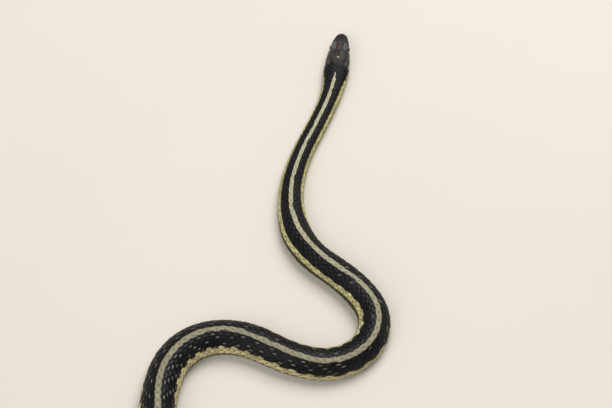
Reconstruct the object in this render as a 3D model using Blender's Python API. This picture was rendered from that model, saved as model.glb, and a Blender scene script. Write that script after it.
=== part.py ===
"""A garter snake lying still on the ground, life size, in metres, with +Z up.

The body is one long tube drawn along a line that winds over the floor. The line starts at
the snout and is given as a run of bends. A section across the body is known at every place
along the line, so the head, the neck, the lengths of the torso and the tail are all cut from
the same outline and meet face to face, a thin gap apart.

The origin lies on the floor, under the middle of the whole animal.
"""

import bisect
from math import cos, pi, radians, sin

import bmesh
import bpy
import numpy as np
from mathutils import Vector

MM = 0.001

# The gap between neighbouring pieces, which touch in life.
GAP = 0.3 * MM

# The line of the body from the snout back: the length of each bend and its turn to the left.
SNOUT_AT = (40.0 * MM, 261.0 * MM)
SNOUT_HEADING = radians(-98)
BENDS = (
    (26, 0), (20, -14), (20, -5), (24, 13), (30, 26), (30, 45), (30, -23), (30, -84), (24, -49),
    (26, -22), (30, 42), (30, 62), (30, 18), (70, 54), (50, 6), (110, -104), (120, 62),
)
EASE = 24 * MM
LINE_STEP = 0.5 * MM

# Sizes of the section across the body, each by its distance from the snout, in millimetres.
WIDTH = (
    (0, 5.6), (3, 6.7), (6, 8.6), (10.5, 10.3), (15.5, 12.0), (20, 13.1), (24, 13.4), (28, 12.9),
    (33, 11.8), (40, 10.9), (50, 10.4), (70, 10.6), (92, 12.0), (116, 14.3), (130, 15.8),
    (150, 15.4), (180, 16.4), (225, 16.3), (270, 17.6), (330, 18.4), (400, 19.0), (450, 18.6),
    (500, 16.0), (540, 12.6), (560, 10.8), (610, 7.9), (660, 4.8), (695, 2.0), (700, 1.4),
)
HEIGHT = (
    (0, 5.6), (4.5, 6.6), (10.5, 7.9), (16, 8.6), (23, 8.8), (32, 8.5), (70, 8.6), (116, 11.2),
    (180, 13.0), (225, 13.0), (330, 14.8), (420, 15.2), (500, 13.0), (540, 10.6), (560, 9.4),
    (610, 7.0), (660, 4.4), (695, 1.9), (700, 1.3),
)
WIDEST_PART = ((0, 0.56), (10.5, 0.48), (23, 0.44), (45, 0.38), (540, 0.38), (700, 0.44))
CROWN_POWER = ((0, 2.5), (14, 2.6), (23, 2.3), (34, 2.0), (60, 1.9), (540, 1.92), (700, 2.0))
BELLY_POWER = ((0, 2.1), (14, 2.3), (34, 2.4), (540, 2.5), (700, 2.2))
PRESS_PART = ((0, 0.0), (7, 0.05), (34, 0.06), (540, 0.06), (700, 0.05))
CHIN_RISE = ((0, 1.3), (2.3, 0.9), (6, 0.25), (9.5, 0.0), (700, 0.0))
NOSE_ROUND = 2.9 * MM
TAIL_ROUND = 0.8 * MM

# Where the animal is parted, by distance from the snout, in millimetres.
HEAD_END = 30
LENGTHS = (
    ("neck", 60), ("torso_1", 105), ("torso_2", 143), ("torso_3", 173), ("torso_4", 201),
    ("torso_5", 238), ("torso_6", 283), ("torso_7", 325), ("torso_8", 372), ("torso_9", 420),
    ("torso_10", 478), ("torso_11", 540), ("tail_1", 595), ("tail_2", 650), ("tail_3", 700),
)
TAIL_END = LENGTHS[-1][1] * MM

# The belly plates: how long each is, by distance from the snout, and how far its front lies
# under the plate before it. One plate stands for two of the animal's own.
PLATE_LENGTH = (
    (30, 5.6), (120, 7.0), (300, 8.1), (420, 8.1), (540, 6.8), (560, 6.8), (650, 5.6), (700, 4.0),
)
PLATE_STEP = 0.35 * MM
PLATE_FLAT_FROM = 0.4

# How finely the pieces are faced.
HEAD_RING_STEP = 1.25 * MM
HEAD_COLUMNS = 14
BACK_COLUMNS = {"neck": 6, "torso": 6, "tail": 4}
BELLY_COLUMNS = {"neck": 3, "torso": 3, "tail": 2}
BELLY_EDGE = 0.72
NOSE_RINGS = 4
TAIL_RINGS = 3
TIP_SHARE = 1e-6
OUTLINE_SAMPLES = 181
MERGE = 0.002 * MM
EYE_FACETS = 18
NOSTRIL_FACETS = 8
RIM_FACETS = 16

# The line of the mouth, seen from the side: distance from the snout and height.
MOUTH = ((-1.5, 2.1), (3.5, 2.2), (9.5, 2.6), (15.5, 2.4), (20, 2.7), (24, 3.6))

# The slab that takes the lower jaw out of the head: how deep and wide it is, the slope of its
# rear end behind the corner of the mouth, and the step of its upper face.
JAW_SLAB_BOTTOM = -2 * MM
JAW_SLAB_REACH = 12 * MM
JAW_REAR_RUN = 1.0 * MM
JAW_REAR_FOOT = 0.5 * MM
JAW_SLAB_STEP = 1.2 * MM

# The eyes: distance from the snout, distance from the middle, height and radius.
EYE_BACK = 10.3 * MM
EYE_OUT = 3.75 * MM
EYE_HEIGHT = 5.0 * MM
EYE_RADIUS = 1.8 * MM

# The nostrils, pits in the sides of the snout.
NOSTRIL_BACK = 2.2 * MM
NOSTRIL_HEIGHT = 3.9 * MM
NOSTRIL_RADIUS = 0.48 * MM

# The rim of small scales round each eye: the radius of each of its edges and how far that
# edge stands off the side of the head.
EYE_RIM = (
    (1.80 * MM, -0.70 * MM), (1.95 * MM, 0.22 * MM), (2.25 * MM, 0.18 * MM), (2.50 * MM, -0.35 * MM),
)

# The shields on the crown, each as corners on the left side: distance from the snout and from
# the middle, in millimetres. A shield whose first and last corners are on the middle is closed
# across it and made once, and the others are made on both sides.
CROWN_SHIELDS = {
    "internasal": ((1.2, 0.15), (1.1, 1.3), (2.3, 2.0), (3.5, 1.9), (3.5, 0.15)),
    "prefrontal": ((3.8, 0.15), (3.8, 2.3), (5.0, 3.25), (6.5, 2.9), (6.2, 1.75), (6.2, 0.15)),
    "frontal": ((6.5, 0.0), (6.5, 1.75), (9.5, 1.6), (11.5, 1.45), (12.9, 0.0)),
    "supraocular": ((6.9, 2.05), (6.9, 3.2), (8.8, 4.1), (11.3, 4.2), (13.2, 3.5), (11.8, 1.85)),
    "parietal": (
        (13.3, 0.15), (12.2, 1.8), (13.7, 3.7), (15.8, 4.3), (18.7, 4.3), (21.3, 3.3),
        (22.5, 1.75), (21.4, 0.15),
    ),
}
SHIELD_RELIEF = 0.2 * MM
SHIELD_ROOT = 0.7 * MM
SHIELD_TOP = 0.88

# The lip plates: how many on each side and the band that they fill, from the mouth's line.
UPPER_LIP_PLATES = 7
UPPER_LIP = (0.2 * MM, 1.4 * MM)
LOWER_LIP_PLATES = 8
LOWER_LIP = (-1.3 * MM, -0.5 * MM)
LIP_SPAN = (1.9 * MM, 23.0 * MM)
LIP_GAP = 0.2 * MM
LIP_RELIEF = 0.14 * MM

BLACK = (0.012, 0.014, 0.018)
OLIVE = (0.050, 0.052, 0.036)
CREAM = (0.40, 0.42, 0.26)
EYE_BROWN = (0.02, 0.012, 0.008)


def clear_scene():
    for thing in list(bpy.data.objects):
        bpy.data.objects.remove(thing, do_unlink=True)


def profile(points, place):
    """Read a smooth curve through (place, value) points, with level slopes at its two ends."""
    places = [point[0] for point in points]
    values = [point[1] for point in points]
    if place <= places[0]:
        return values[0]
    if place >= places[-1]:
        return values[-1]
    at = bisect.bisect_right(places, place) - 1
    run = places[at + 1] - places[at]

    def slope(index):
        if index == 0 or index == len(places) - 1:
            return 0.0
        before = (values[index] - values[index - 1]) / (places[index] - places[index - 1])
        after = (values[index + 1] - values[index]) / (places[index + 1] - places[index])
        if before * after <= 0:
            return 0.0
        return 2 * before * after / (before + after)

    t = (place - places[at]) / run
    start = values[at] + slope(at) * run * t
    ease = t * t * (3 - 2 * t)
    end = values[at + 1] - slope(at + 1) * run * (1 - t)
    return start * (1 - ease) + end * ease


def body_line():
    """Return the distances, x, y and headings along the middle of the body, from the snout."""
    count = round(sum(length for length, turn in BENDS) * MM / LINE_STEP)
    middles = (np.arange(count) + 0.5) * LINE_STEP
    bending = np.zeros(count)
    start = 0.0
    for length, turn in BENDS:
        inside = (middles >= start) & (middles < start + length * MM)
        bending[inside] = radians(turn) / (length * MM)
        start += length * MM
    window = round(EASE / LINE_STEP)
    weights = np.hanning(window + 2)[1:-1]
    padded = np.pad(bending, window, mode="edge")
    bending = np.convolve(padded, weights / weights.sum(), mode="same")[window:-window]
    headings = SNOUT_HEADING + np.r_[0, np.cumsum(bending) * LINE_STEP]
    between = (headings[1:] + headings[:-1]) / 2
    xs = SNOUT_AT[0] + np.r_[0, np.cumsum(np.cos(between)) * LINE_STEP]
    ys = SNOUT_AT[1] + np.r_[0, np.cumsum(np.sin(between)) * LINE_STEP]
    return np.arange(count + 1) * LINE_STEP, xs, ys, headings


LINE = body_line()


def place_point(along, side, height):
    """Turn a place on the body, with side to the animal's left, into a point in the world."""
    x, y, heading = (np.interp(along, LINE[0], values) for values in LINE[1:])
    return Vector((x + side * sin(heading), y - side * cos(heading), height))


def end_rounding(along):
    """Return how much of its full size a section has, which falls to nothing at both tips."""
    nose = min(along / NOSE_ROUND, 1.0)
    tail = min((TAIL_END - along) / TAIL_ROUND, 1.0)
    return (1 - (1 - nose) ** 2) ** 0.5 * (1 - (1 - tail) ** 2) ** 0.5


def half_outline(along):
    """Return sides and heights round half a section, from the middle of the back to the belly's."""
    mm = along / MM
    rounding = end_rounding(along)
    half_width = profile(WIDTH, mm) / 2 * MM * rounding
    height = profile(HEIGHT, mm) * MM
    widest = height * profile(WIDEST_PART, mm)
    rise = max(profile(CHIN_RISE, mm), 0.0) * MM
    top = (height - widest) * rounding
    floor = widest - (widest - rise) * rounding
    bottom = (widest - rise) * rounding + height * profile(PRESS_PART, mm)
    around = np.linspace(0, pi, OUTLINE_SAMPLES)
    upper = np.cos(around) > 0
    power = np.where(upper, 2 / profile(CROWN_POWER, mm), 2 / profile(BELLY_POWER, mm))
    sides = half_width * np.abs(np.sin(around)) ** power
    reach = np.where(upper, top, -bottom) * np.abs(np.cos(around)) ** power
    return sides, np.maximum(widest + reach, floor)


def section(along, columns):
    """Return (side, height) at each column, which is a share of the way from back to belly."""
    sides, heights = half_outline(along)
    walked = np.r_[0, np.cumsum(np.hypot(np.diff(sides), np.diff(heights)))]
    found = []
    for column in columns:
        share = abs(column) * walked[-1]
        side = float(np.interp(share, walked, sides))
        height = float(np.interp(share, walked, heights))
        found.append((side if column >= 0 else -side, height))
    return found


def ring_columns(back, belly):
    """Return the columns round a ring, from the back down the left side and up the right."""
    left = [BELLY_EDGE * i / back for i in range(back + 1)]
    left += [BELLY_EDGE + (1 - BELLY_EDGE) * i / belly for i in range(1, belly + 1)]
    right = [-column for column in reversed(left[1:-1])]
    return left + right


def new_object(name, mesh, colour, roughness):
    thing = bpy.data.objects.new(name, mesh)
    bpy.context.scene.collection.objects.link(thing)
    material = bpy.data.materials.new(name)
    material.use_nodes = True
    shader = material.node_tree.nodes["Principled BSDF"]
    shader.inputs["Base Color"].default_value = (*colour, 1)
    shader.inputs["Roughness"].default_value = roughness
    mesh.materials.append(material)
    mesh.shade_smooth()
    return thing


def ring_points(along, columns, sink=0.0):
    """Return the points of a ring, with those inside the belly's edges drawn in by the sink."""
    heart = profile(HEIGHT, along / MM) * profile(WIDEST_PART, along / MM) * MM
    points = []
    for column, (side, height) in zip(columns, section(along, columns)):
        if abs(column) > BELLY_EDGE + 1e-6:
            keep = 1 - sink / max(np.hypot(side, height - heart), sink)
            side = side * keep
            height = heart + (height - heart) * keep
        points.append(place_point(along, side, height))
    return points


def tube_mesh(name, places, columns):
    """Make a closed tube through the rings at these places, with a point or a cap at each end.

    A place is (distance, sink). Two places at one distance make a step in the belly, and share
    the ring's other points.
    """
    shape = bmesh.new()
    rings = []
    for i, (along, sink) in enumerate(places):
        if end_rounding(along) < TIP_SHARE:
            tip = profile(HEIGHT, along / MM) * profile(WIDEST_PART, along / MM) * MM
            rings.append([shape.verts.new(place_point(along, 0, tip))])
            continue
        ring = [shape.verts.new(point) for point in ring_points(along, columns, sink)]
        if i and places[i - 1][0] == along:
            for j, column in enumerate(columns):
                if abs(column) <= BELLY_EDGE + 1e-6:
                    shape.verts.remove(ring[j])
                    ring[j] = rings[-1][j]
        rings.append(ring)
    for front, back in zip(rings, rings[1:]):
        join_rings(shape, front, back)
    for ring in (rings[0], rings[-1]):
        if len(ring) > 1:
            shape.faces.new(ring)
    return finished_mesh(name, shape)


def finished_mesh(name, shape):
    """Turn the faces outward, split them into triangles and hand back a mesh."""
    bmesh.ops.recalc_face_normals(shape, faces=shape.faces)
    bmesh.ops.triangulate(shape, faces=shape.faces)
    mesh = bpy.data.meshes.new(name)
    shape.to_mesh(mesh)
    shape.free()
    return mesh


def join_rings(shape, front, back):
    """Face the band between two rings, either of which may be a single point."""
    count = max(len(front), len(back))
    for i in range(count):
        j = (i + 1) % count
        corners = (front[i % len(front)], front[j % len(front)], back[j % len(back)], back[i % len(back)])
        corners = list(dict.fromkeys(corners))
        if len(corners) > 2:
            shape.faces.new(corners)


def spread(start, end, step):
    count = max(1, round((end - start) / step))
    return [start + (end - start) * i / count for i in range(count + 1)]


def cut(target, cutter, operation):
    """Apply one Boolean to the target and remove the cutter."""
    modifier = target.modifiers.new("cut", "BOOLEAN")
    modifier.operation = operation
    modifier.solver = "EXACT"
    modifier.object = cutter
    apply_modifiers(target)
    bpy.data.objects.remove(cutter, do_unlink=True)
    keep_largest(target.data)


def loose_object(name, mesh):
    thing = bpy.data.objects.new(name, mesh)
    bpy.context.scene.collection.objects.link(thing)
    return thing


def fuse(target, pieces):
    """Join the pieces to the target as one closed body, by one Boolean on a collection."""
    group = bpy.data.collections.new("pieces")
    for piece in pieces:
        group.objects.link(piece)
    modifier = target.modifiers.new("fuse", "BOOLEAN")
    modifier.operation = "UNION"
    modifier.solver = "EXACT"
    modifier.operand_type = "COLLECTION"
    modifier.collection = group
    apply_modifiers(target)
    for piece in pieces:
        bpy.data.objects.remove(piece, do_unlink=True)
    bpy.data.collections.remove(group)
    keep_largest(target.data)


def apply_modifiers(target):
    view = bpy.context.evaluated_depsgraph_get()
    mesh = bpy.data.meshes.new_from_object(target.evaluated_get(view))
    old = target.data
    target.modifiers.clear()
    target.data = mesh
    bpy.data.meshes.remove(old)


def keep_largest(mesh):
    """Keep the closed surface with the most room inside it, and drop any loose scrap."""
    shape = bmesh.new()
    shape.from_mesh(mesh)
    bmesh.ops.remove_doubles(shape, verts=shape.verts, dist=MERGE)
    bmesh.ops.dissolve_degenerate(shape, dist=MERGE, edges=shape.edges)
    bmesh.ops.triangulate(shape, faces=shape.faces)
    left = set(shape.faces)
    surfaces = []
    while left:
        surface = set()
        waiting = [left.pop()]
        while waiting:
            face = waiting.pop()
            surface.add(face)
            for edge in face.edges:
                for other in edge.link_faces:
                    if other in left:
                        left.remove(other)
                        waiting.append(other)
        surfaces.append(surface)

    def room(surface):
        total = 0.0
        for face in surface:
            a, b, c = (corner.vert.co for corner in face.loops)
            total += a.dot(b.cross(c)) / 6
        return total

    largest = max(surfaces, key=room)
    scrap = [face for face in shape.faces if face not in largest]
    bmesh.ops.delete(shape, geom=scrap, context="FACES")
    shape.to_mesh(mesh)
    shape.free()


def jaw_cutter(inset):
    """Make a slab under the line of the mouth that holds the lower jaw, smaller by the inset."""
    corner = MOUTH[-1][0] * MM - inset
    front = MOUTH[0][0] * MM
    rear = (corner - JAW_REAR_RUN, JAW_SLAB_BOTTOM)
    outline = [(front, JAW_SLAB_BOTTOM), rear, (corner, JAW_REAR_FOOT)]
    for along in reversed(spread(front, corner, JAW_SLAB_STEP)):
        outline.append((along, profile(MOUTH, along / MM) * MM - inset))
    shape = bmesh.new()
    ends = []
    for side in (-JAW_SLAB_REACH, JAW_SLAB_REACH):
        ends.append([shape.verts.new(head_point(along, side, height)) for along, height in outline])
    join_rings(shape, ends[0], ends[1])
    for ring in ends:
        shape.faces.new(ring)
    return loose_object("jaw_slab", finished_mesh("jaw_slab", shape))


def head_point(along, side, height):
    """Place a point by the head's own straight axis, which also runs on before the snout."""
    ahead = min(along, 0.0)
    point = place_point(max(along, 0.0), side, height)
    point.x += ahead * cos(SNOUT_HEADING)
    point.y += ahead * sin(SNOUT_HEADING)
    return point


def ball_object(name, centre, radius, segments):
    shape = bmesh.new()
    bmesh.ops.create_uvsphere(shape, u_segments=segments, v_segments=segments // 2, radius=radius)
    bmesh.ops.translate(shape, verts=shape.verts, vec=centre)
    return loose_object(name, finished_mesh(name, shape))


def column_at_side(along, side):
    """Return the column of the crown that lies this far from the middle."""
    sides, heights = half_outline(along)
    walked = np.r_[0, np.cumsum(np.hypot(np.diff(sides), np.diff(heights)))]
    crown = len(sides) // 2 + 1
    return float(np.interp(side, sides[:crown], walked[:crown])) / walked[-1]


def column_at_height(along, height):
    """Return the column of the cheek that lies at this height."""
    sides, heights = half_outline(along)
    walked = np.r_[0, np.cumsum(np.hypot(np.diff(sides), np.diff(heights)))]
    return float(np.interp(-height, -heights, walked)) / walked[-1]


def raised_plate(name, corners, hand, relief):
    """Make one closed plate that stands proud of the head and is rooted in it.

    The corners are (distance, column) on the left, and hand is -1 for the right side.
    """
    middle = np.mean(corners, axis=0)
    shape = bmesh.new()
    rings = []
    for share, lift in ((1.0, -SHIELD_ROOT), (SHIELD_TOP, relief), (SHIELD_TOP / 2, relief)):
        ring = []
        for corner in corners:
            along, column = middle + (np.array(corner) - middle) * share
            ring.append(shape.verts.new(lifted_point(along, column * hand, lift)))
        rings.append(ring)
    rings.append([shape.verts.new(lifted_point(middle[0], middle[1] * hand, relief))])
    for lower, upper in zip(rings, rings[1:]):
        join_rings(shape, lower, upper)
    shape.faces.new(rings[0])
    return loose_object(name, finished_mesh(name, shape))


def lifted_point(along, column, lift):
    """Return a point off the surface by the lift, measured away from the section's heart."""
    side, height = section(along, [column])[0]
    heart = profile(HEIGHT, along / MM) * profile(WIDEST_PART, along / MM) * MM
    reach = np.hypot(side, height - heart)
    grow = 1 + lift / reach
    return place_point(along, side * grow, heart + (height - heart) * grow)


def crown_plates():
    plates = []
    for name, corners in CROWN_SHIELDS.items():
        half = [(along * MM, column_at_side(along * MM, out * MM)) for along, out in corners]
        if corners[0][1] == 0 and corners[-1][1] == 0:
            mirrored = [(along, -column) for along, column in reversed(half[1:-1])]
            plates.append(raised_plate(name, half + mirrored, 1, SHIELD_RELIEF))
        else:
            plates += [raised_plate(name, half, hand, SHIELD_RELIEF) for hand in (1, -1)]
    return plates


def lip_plates(count, band):
    """Make the row of plates along one lip on both sides, a small gap apart."""
    plates = []
    length = (LIP_SPAN[1] - LIP_SPAN[0]) / count
    for i in range(count):
        start = LIP_SPAN[0] + i * length + LIP_GAP / 2
        end = start + length - LIP_GAP
        corners = []
        for along, edge in ((start, band[0]), (end, band[0]), (end, band[1]), (start, band[1])):
            height = profile(MOUTH, along / MM) * MM + edge
            corners.append((along, column_at_height(along, height)))
        plates += [raised_plate("lip", corners, hand, LIP_RELIEF) for hand in (1, -1)]
    return plates


def eye_centre(hand):
    return head_point(EYE_BACK, hand * EYE_OUT, EYE_HEIGHT)


def eye_rim(hand):
    """Make the ring of small scales round an eye, lying on the side of the head."""
    shape = bmesh.new()
    rings = []
    for i in range(RIM_FACETS):
        turn = 2 * pi * i / RIM_FACETS
        ring = []
        for radius, lift in EYE_RIM:
            along = EYE_BACK + radius * cos(turn)
            column = column_at_height(along, EYE_HEIGHT + radius * sin(turn))
            ring.append(shape.verts.new(lifted_point(along, column * hand, lift)))
        rings.append(ring)
    for front, back in zip(rings, rings[1:] + rings[:1]):
        join_rings(shape, front, back)
    return loose_object("rim", finished_mesh("rim", shape))


def make_head():
    """Make the head with its shields, sockets and nostrils, and part the lower jaw from it."""
    columns = [i / HEAD_COLUMNS for i in range(HEAD_COLUMNS + 1)]
    columns += [-column for column in reversed(columns[1:-1])]
    nose = [NOSE_ROUND * (1 - cos(pi / 2 * i / NOSE_RINGS)) for i in range(NOSE_RINGS)]
    places = nose + spread(NOSE_ROUND, HEAD_END * MM - GAP / 2, HEAD_RING_STEP)
    mesh = tube_mesh("head", [(along, 0.0) for along in places], columns)
    head = new_object("head", mesh, BLACK, 0.35)
    jaw = new_object("lower_jaw", head.data.copy(), CREAM, 0.45)
    rims = [eye_rim(hand) for hand in (1, -1)]
    fuse(head, crown_plates() + lip_plates(UPPER_LIP_PLATES, UPPER_LIP) + rims)
    fuse(jaw, lip_plates(LOWER_LIP_PLATES, LOWER_LIP))
    cut(head, jaw_cutter(0.0), "DIFFERENCE")
    cut(jaw, jaw_cutter(GAP), "INTERSECT")
    for hand in (1, -1):
        cut(head, ball_object("socket", eye_centre(hand), EYE_RADIUS + GAP, EYE_FACETS), "DIFFERENCE")
        column = column_at_height(NOSTRIL_BACK, NOSTRIL_HEIGHT) * hand
        pit = lifted_point(NOSTRIL_BACK, column, 0.0)
        cut(head, ball_object("nostril", pit, NOSTRIL_RADIUS, NOSTRIL_FACETS), "DIFFERENCE")


def make_eyes():
    for name, hand in (("eye_left", 1), ("eye_right", -1)):
        ball = ball_object("ball", eye_centre(hand), EYE_RADIUS, EYE_FACETS)
        new_object(name, ball.data, EYE_BROWN, 0.1)
        bpy.data.objects.remove(ball, do_unlink=True)


def plate_edges():
    """Return where each belly plate ends, from the head to the tip of the tail."""
    edges = [HEAD_END * MM]
    while edges[-1] < TAIL_END:
        edges.append(edges[-1] + profile(PLATE_LENGTH, edges[-1] / MM) * MM)
    shrink = (TAIL_END - TAIL_ROUND - edges[0]) / (edges[-1] - edges[0])
    return [edges[0] + (edge - edges[0]) * shrink for edge in edges]


def make_lengths():
    """Make the neck, the lengths of the torso and those of the tail, each cut square across.

    Every cut falls on the edge of the nearest belly plate.
    """
    edges = plate_edges()
    first = 0
    for name, end_mm in LENGTHS:
        kind = name.split("_")[0]
        columns = ring_columns(BACK_COLUMNS[kind], BELLY_COLUMNS[kind])
        last = min(range(len(edges)), key=lambda i: abs(edges[i] - end_mm * MM))
        places = []
        for front, rear in zip(edges[first:last], edges[first + 1:last + 1]):
            flat_from = front + (rear - front) * PLATE_FLAT_FROM
            places += [(front, PLATE_STEP), (flat_from, 0.0), (rear, 0.0)]
        places[0] = (edges[first] + GAP / 2, PLATE_STEP)
        if last == len(edges) - 1:
            steps = [TAIL_ROUND * sin(pi / 2 * i / TAIL_RINGS) for i in range(1, TAIL_RINGS + 1)]
            places += [(edges[last] + step, 0.0) for step in steps]
        else:
            places[-1] = (edges[last] - GAP / 2, 0.0)
        new_object(name, tube_mesh(name, places, columns), OLIVE, 0.4)
        first = last


clear_scene()
make_head()
make_eyes()
make_lengths()
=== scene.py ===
"""The looks of a garter snake lying still on the ground, life size, in metres, with +Z up.

One skin covers the whole animal. Scales, belly scutes and eyes lie on it as pieces of their
own. Every place on the body is known by its distance from the snout, called along, and by its
column, which is 0 on the middle of the back, 1 on the middle of the belly, positive on the
animal's left and negative on its right.
"""

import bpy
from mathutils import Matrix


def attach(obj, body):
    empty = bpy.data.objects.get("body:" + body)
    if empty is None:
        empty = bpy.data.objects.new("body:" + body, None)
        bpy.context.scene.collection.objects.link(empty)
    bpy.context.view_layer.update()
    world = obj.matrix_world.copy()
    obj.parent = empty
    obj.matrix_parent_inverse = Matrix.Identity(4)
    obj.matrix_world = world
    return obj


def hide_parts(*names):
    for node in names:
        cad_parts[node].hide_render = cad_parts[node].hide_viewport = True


bl_info = {
    "name": "Garter Snake",
    "version": (1, 0, 0),
    "blender": (4, 5, 0),
    "location": "View3D > Sidebar > Garter Snake",
    "description": "Skin, scales, belly scutes and eyes of a garter snake at rest",
    "category": "Object",
}

from math import pi, radians, sin

import bmesh
import bpy
import numpy as np
from mathutils import Color, Vector

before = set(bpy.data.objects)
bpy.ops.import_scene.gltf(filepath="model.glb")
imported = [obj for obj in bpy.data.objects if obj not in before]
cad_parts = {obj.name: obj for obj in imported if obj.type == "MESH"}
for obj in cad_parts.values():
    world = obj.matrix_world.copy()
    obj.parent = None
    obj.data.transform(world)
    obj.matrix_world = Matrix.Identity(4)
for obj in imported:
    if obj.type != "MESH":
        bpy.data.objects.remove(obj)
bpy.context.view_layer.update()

MM = 0.001

# The line of the body from the snout back: the length of each bend and its turn to the left.
SNOUT_AT = (40.0 * MM, 261.0 * MM)
SNOUT_HEADING = radians(-98)
BENDS = (
    (26, 0), (20, -14), (20, -5), (24, 13), (30, 26), (30, 45), (30, -23), (30, -84), (24, -49),
    (26, -22), (30, 42), (30, 62), (30, 18), (70, 54), (50, 6), (110, -104), (120, 62),
)
EASE = 24 * MM
LINE_STEP = 0.5 * MM
TAIL_END = 700 * MM

# The section across the body, by the distance from the snout in millimetres: its width and
# height, the height of its widest part as a share, how full it is above and below, how far it
# is pressed flat on the ground, and how high the chin's lower side is. Then the lengths over
# which it is rounded off at both tips.
WIDTH = (
    (0, 5.6), (3, 6.7), (6, 8.6), (10.5, 10.3), (15.5, 12.0), (20, 13.1), (24, 13.4), (28, 12.9),
    (33, 11.8), (40, 10.9), (50, 10.4), (70, 10.6), (92, 12.0), (116, 14.3), (130, 15.8),
    (150, 15.4), (180, 16.4), (225, 16.3), (270, 17.6), (330, 18.4), (400, 19.0), (450, 18.6),
    (500, 16.0), (540, 12.6), (560, 10.8), (610, 7.9), (660, 4.8), (695, 2.0), (700, 1.4),
)
HEIGHT = (
    (0, 5.6), (4.5, 6.6), (10.5, 7.9), (16, 8.6), (23, 8.8), (32, 8.5), (70, 8.6), (116, 11.2),
    (180, 13.0), (225, 13.0), (330, 14.8), (420, 15.2), (500, 13.0), (540, 10.6), (560, 9.4),
    (610, 7.0), (660, 4.4), (695, 1.9), (700, 1.3),
)
WIDEST_PART = ((0, 0.56), (10.5, 0.48), (23, 0.44), (45, 0.38), (540, 0.38), (700, 0.44))
CROWN_POWER = ((0, 2.5), (14, 2.6), (23, 2.3), (34, 2.0), (60, 1.9), (540, 1.92), (700, 2.0))
BELLY_POWER = ((0, 2.1), (14, 2.3), (34, 2.4), (540, 2.5), (700, 2.2))
PRESS_PART = ((0, 0.0), (7, 0.05), (34, 0.06), (540, 0.06), (700, 0.05))
CHIN_RISE = ((0, 1.3), (2.3, 0.9), (6, 0.25), (9.5, 0.0), (700, 0.0))
NOSE_ROUND = 2.9 * MM
TAIL_ROUND = 0.8 * MM
OUTLINE_SAMPLES = 181

# How far the stripe on the back leans over to the animal's left, in degrees, where the body
# rolls a little in its bends.
LEAN = (
    (0, 0), (54, 0), (62, -1.5), (70, -3), (88, -2.5), (96, -1.2), (104, 0), (112, 0), (120, -4),
    (128, -7.5), (138, -11.5), (144, -10), (152, -4.5), (160, -3.5), (168, -10), (176, -15),
    (186, -16.5), (200, -14.5), (212, -12.5), (224, -13), (232, -11), (240, -6.5), (248, -2.5),
    (256, 0), (264, -1), (272, 2.5), (288, 7), (312, 5), (320, 7), (328, 4.5), (336, -0.5),
    (344, -6.5), (356, 0), (700, 0),
)

# The line of the mouth, seen from the side: distance from the snout and height, with the place
# of its corner. Further on, the head's columns move to their places on the body, and the mouth's
# column never lies below the lowest. The lips swell beside the line, in millimetres from it.
MOUTH = ((-1.5, 2.1), (3.5, 2.2), (9.5, 2.6), (15.5, 2.4), (20, 2.7), (24, 3.6))
MOUTH_CORNER = 24.0
MOUTH_ENDS = (MOUTH_CORNER - 0.8, MOUTH_CORNER + 0.4)
MOUTH_LEVELS_OUT = 22.5
LOWEST_MOUTH = 0.9
LIP_MIDDLE = 0.55
LIP_WIDTH = 0.4
LIPS_START = (0.25, 0.9)

# The eyes: distance from the snout, distance from the middle, height and radius. Then the ring
# in which the rim blends into the head and the inner edge of the rim, as parts of the opening,
# and how far behind the ball's surface the socket lies.
EYE_BACK = 10.3 * MM
EYE_OUT = 3.75 * MM
EYE_HEIGHT = 5.0 * MM
EYE_RADIUS = 1.8 * MM
EYE_RIM_BLEND = (1.05, 1.75)
EYE_RIM_INSIDE = 0.93
EYE_SOCKET_GAP = 0.5 * MM

# The skin lies this far inside the solids, which the scales then fill out. It starts at these
# distances from the snout, and on the throat also below these shares. It is never more than
# the limit's share of the way to the middle. The last is the column where the back's rows end.
COAT = 0.25 * MM
COAT_STARTS = (22.2, 25.5)
THROAT_SINKS = (15.5, 17.5)
THROAT_SHARES = (1.15, 1.3)
COAT_LIMIT = 0.3
BELLY_EDGE = 0.62

# Where the head's fine part of the skin ends, and how finely the skin is faced.
HEAD_SKIN_END = 28.5 * MM
HEAD_RING = 0.13 * MM
NOSE_RINGS = 26
UPPER_COLUMNS = 88
LOWER_COLUMNS = 52
BODY_RING = 1.5 * MM
BODY_COLUMNS = 70
TAIL_RINGS = 5

# The shields of the head, as corners on the left side: distance from the snout in
# millimetres, and share, which is 0 on the middle of the crown, 1 at the mouth and 2 on the
# middle of the chin. Corners of the crown's shields have millimetres from the middle instead.
CROWN_SHIELDS = {
    "internasal": ((1.2, 0.10), (1.1, 1.3), (2.3, 2.0), (3.55, 1.9), (3.55, 0.10)),
    "prefrontal": ((3.75, 0.10), (3.75, 2.3), (5.0, 3.25), (6.5, 2.95), (6.25, 1.85), (6.25, 0.10)),
    "frontal": ((6.45, -1.0), (6.45, 1.8), (9.5, 1.63), (11.6, 1.5), (13.0, 0.05), (13.0, -1.0)),
    "supraocular": ((6.8, 2.0), (6.8, 3.15), (8.6, 4.1), (11.5, 4.2), (13.2, 3.45), (11.8, 1.75)),
    "parietal": (
        (13.35, 0.10), (12.0, 1.7), (13.5, 3.55), (15.8, 4.3), (18.7, 4.3), (21.3, 3.3),
        (22.6, 1.75), (21.8, 0.10),
    ),
}
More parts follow.
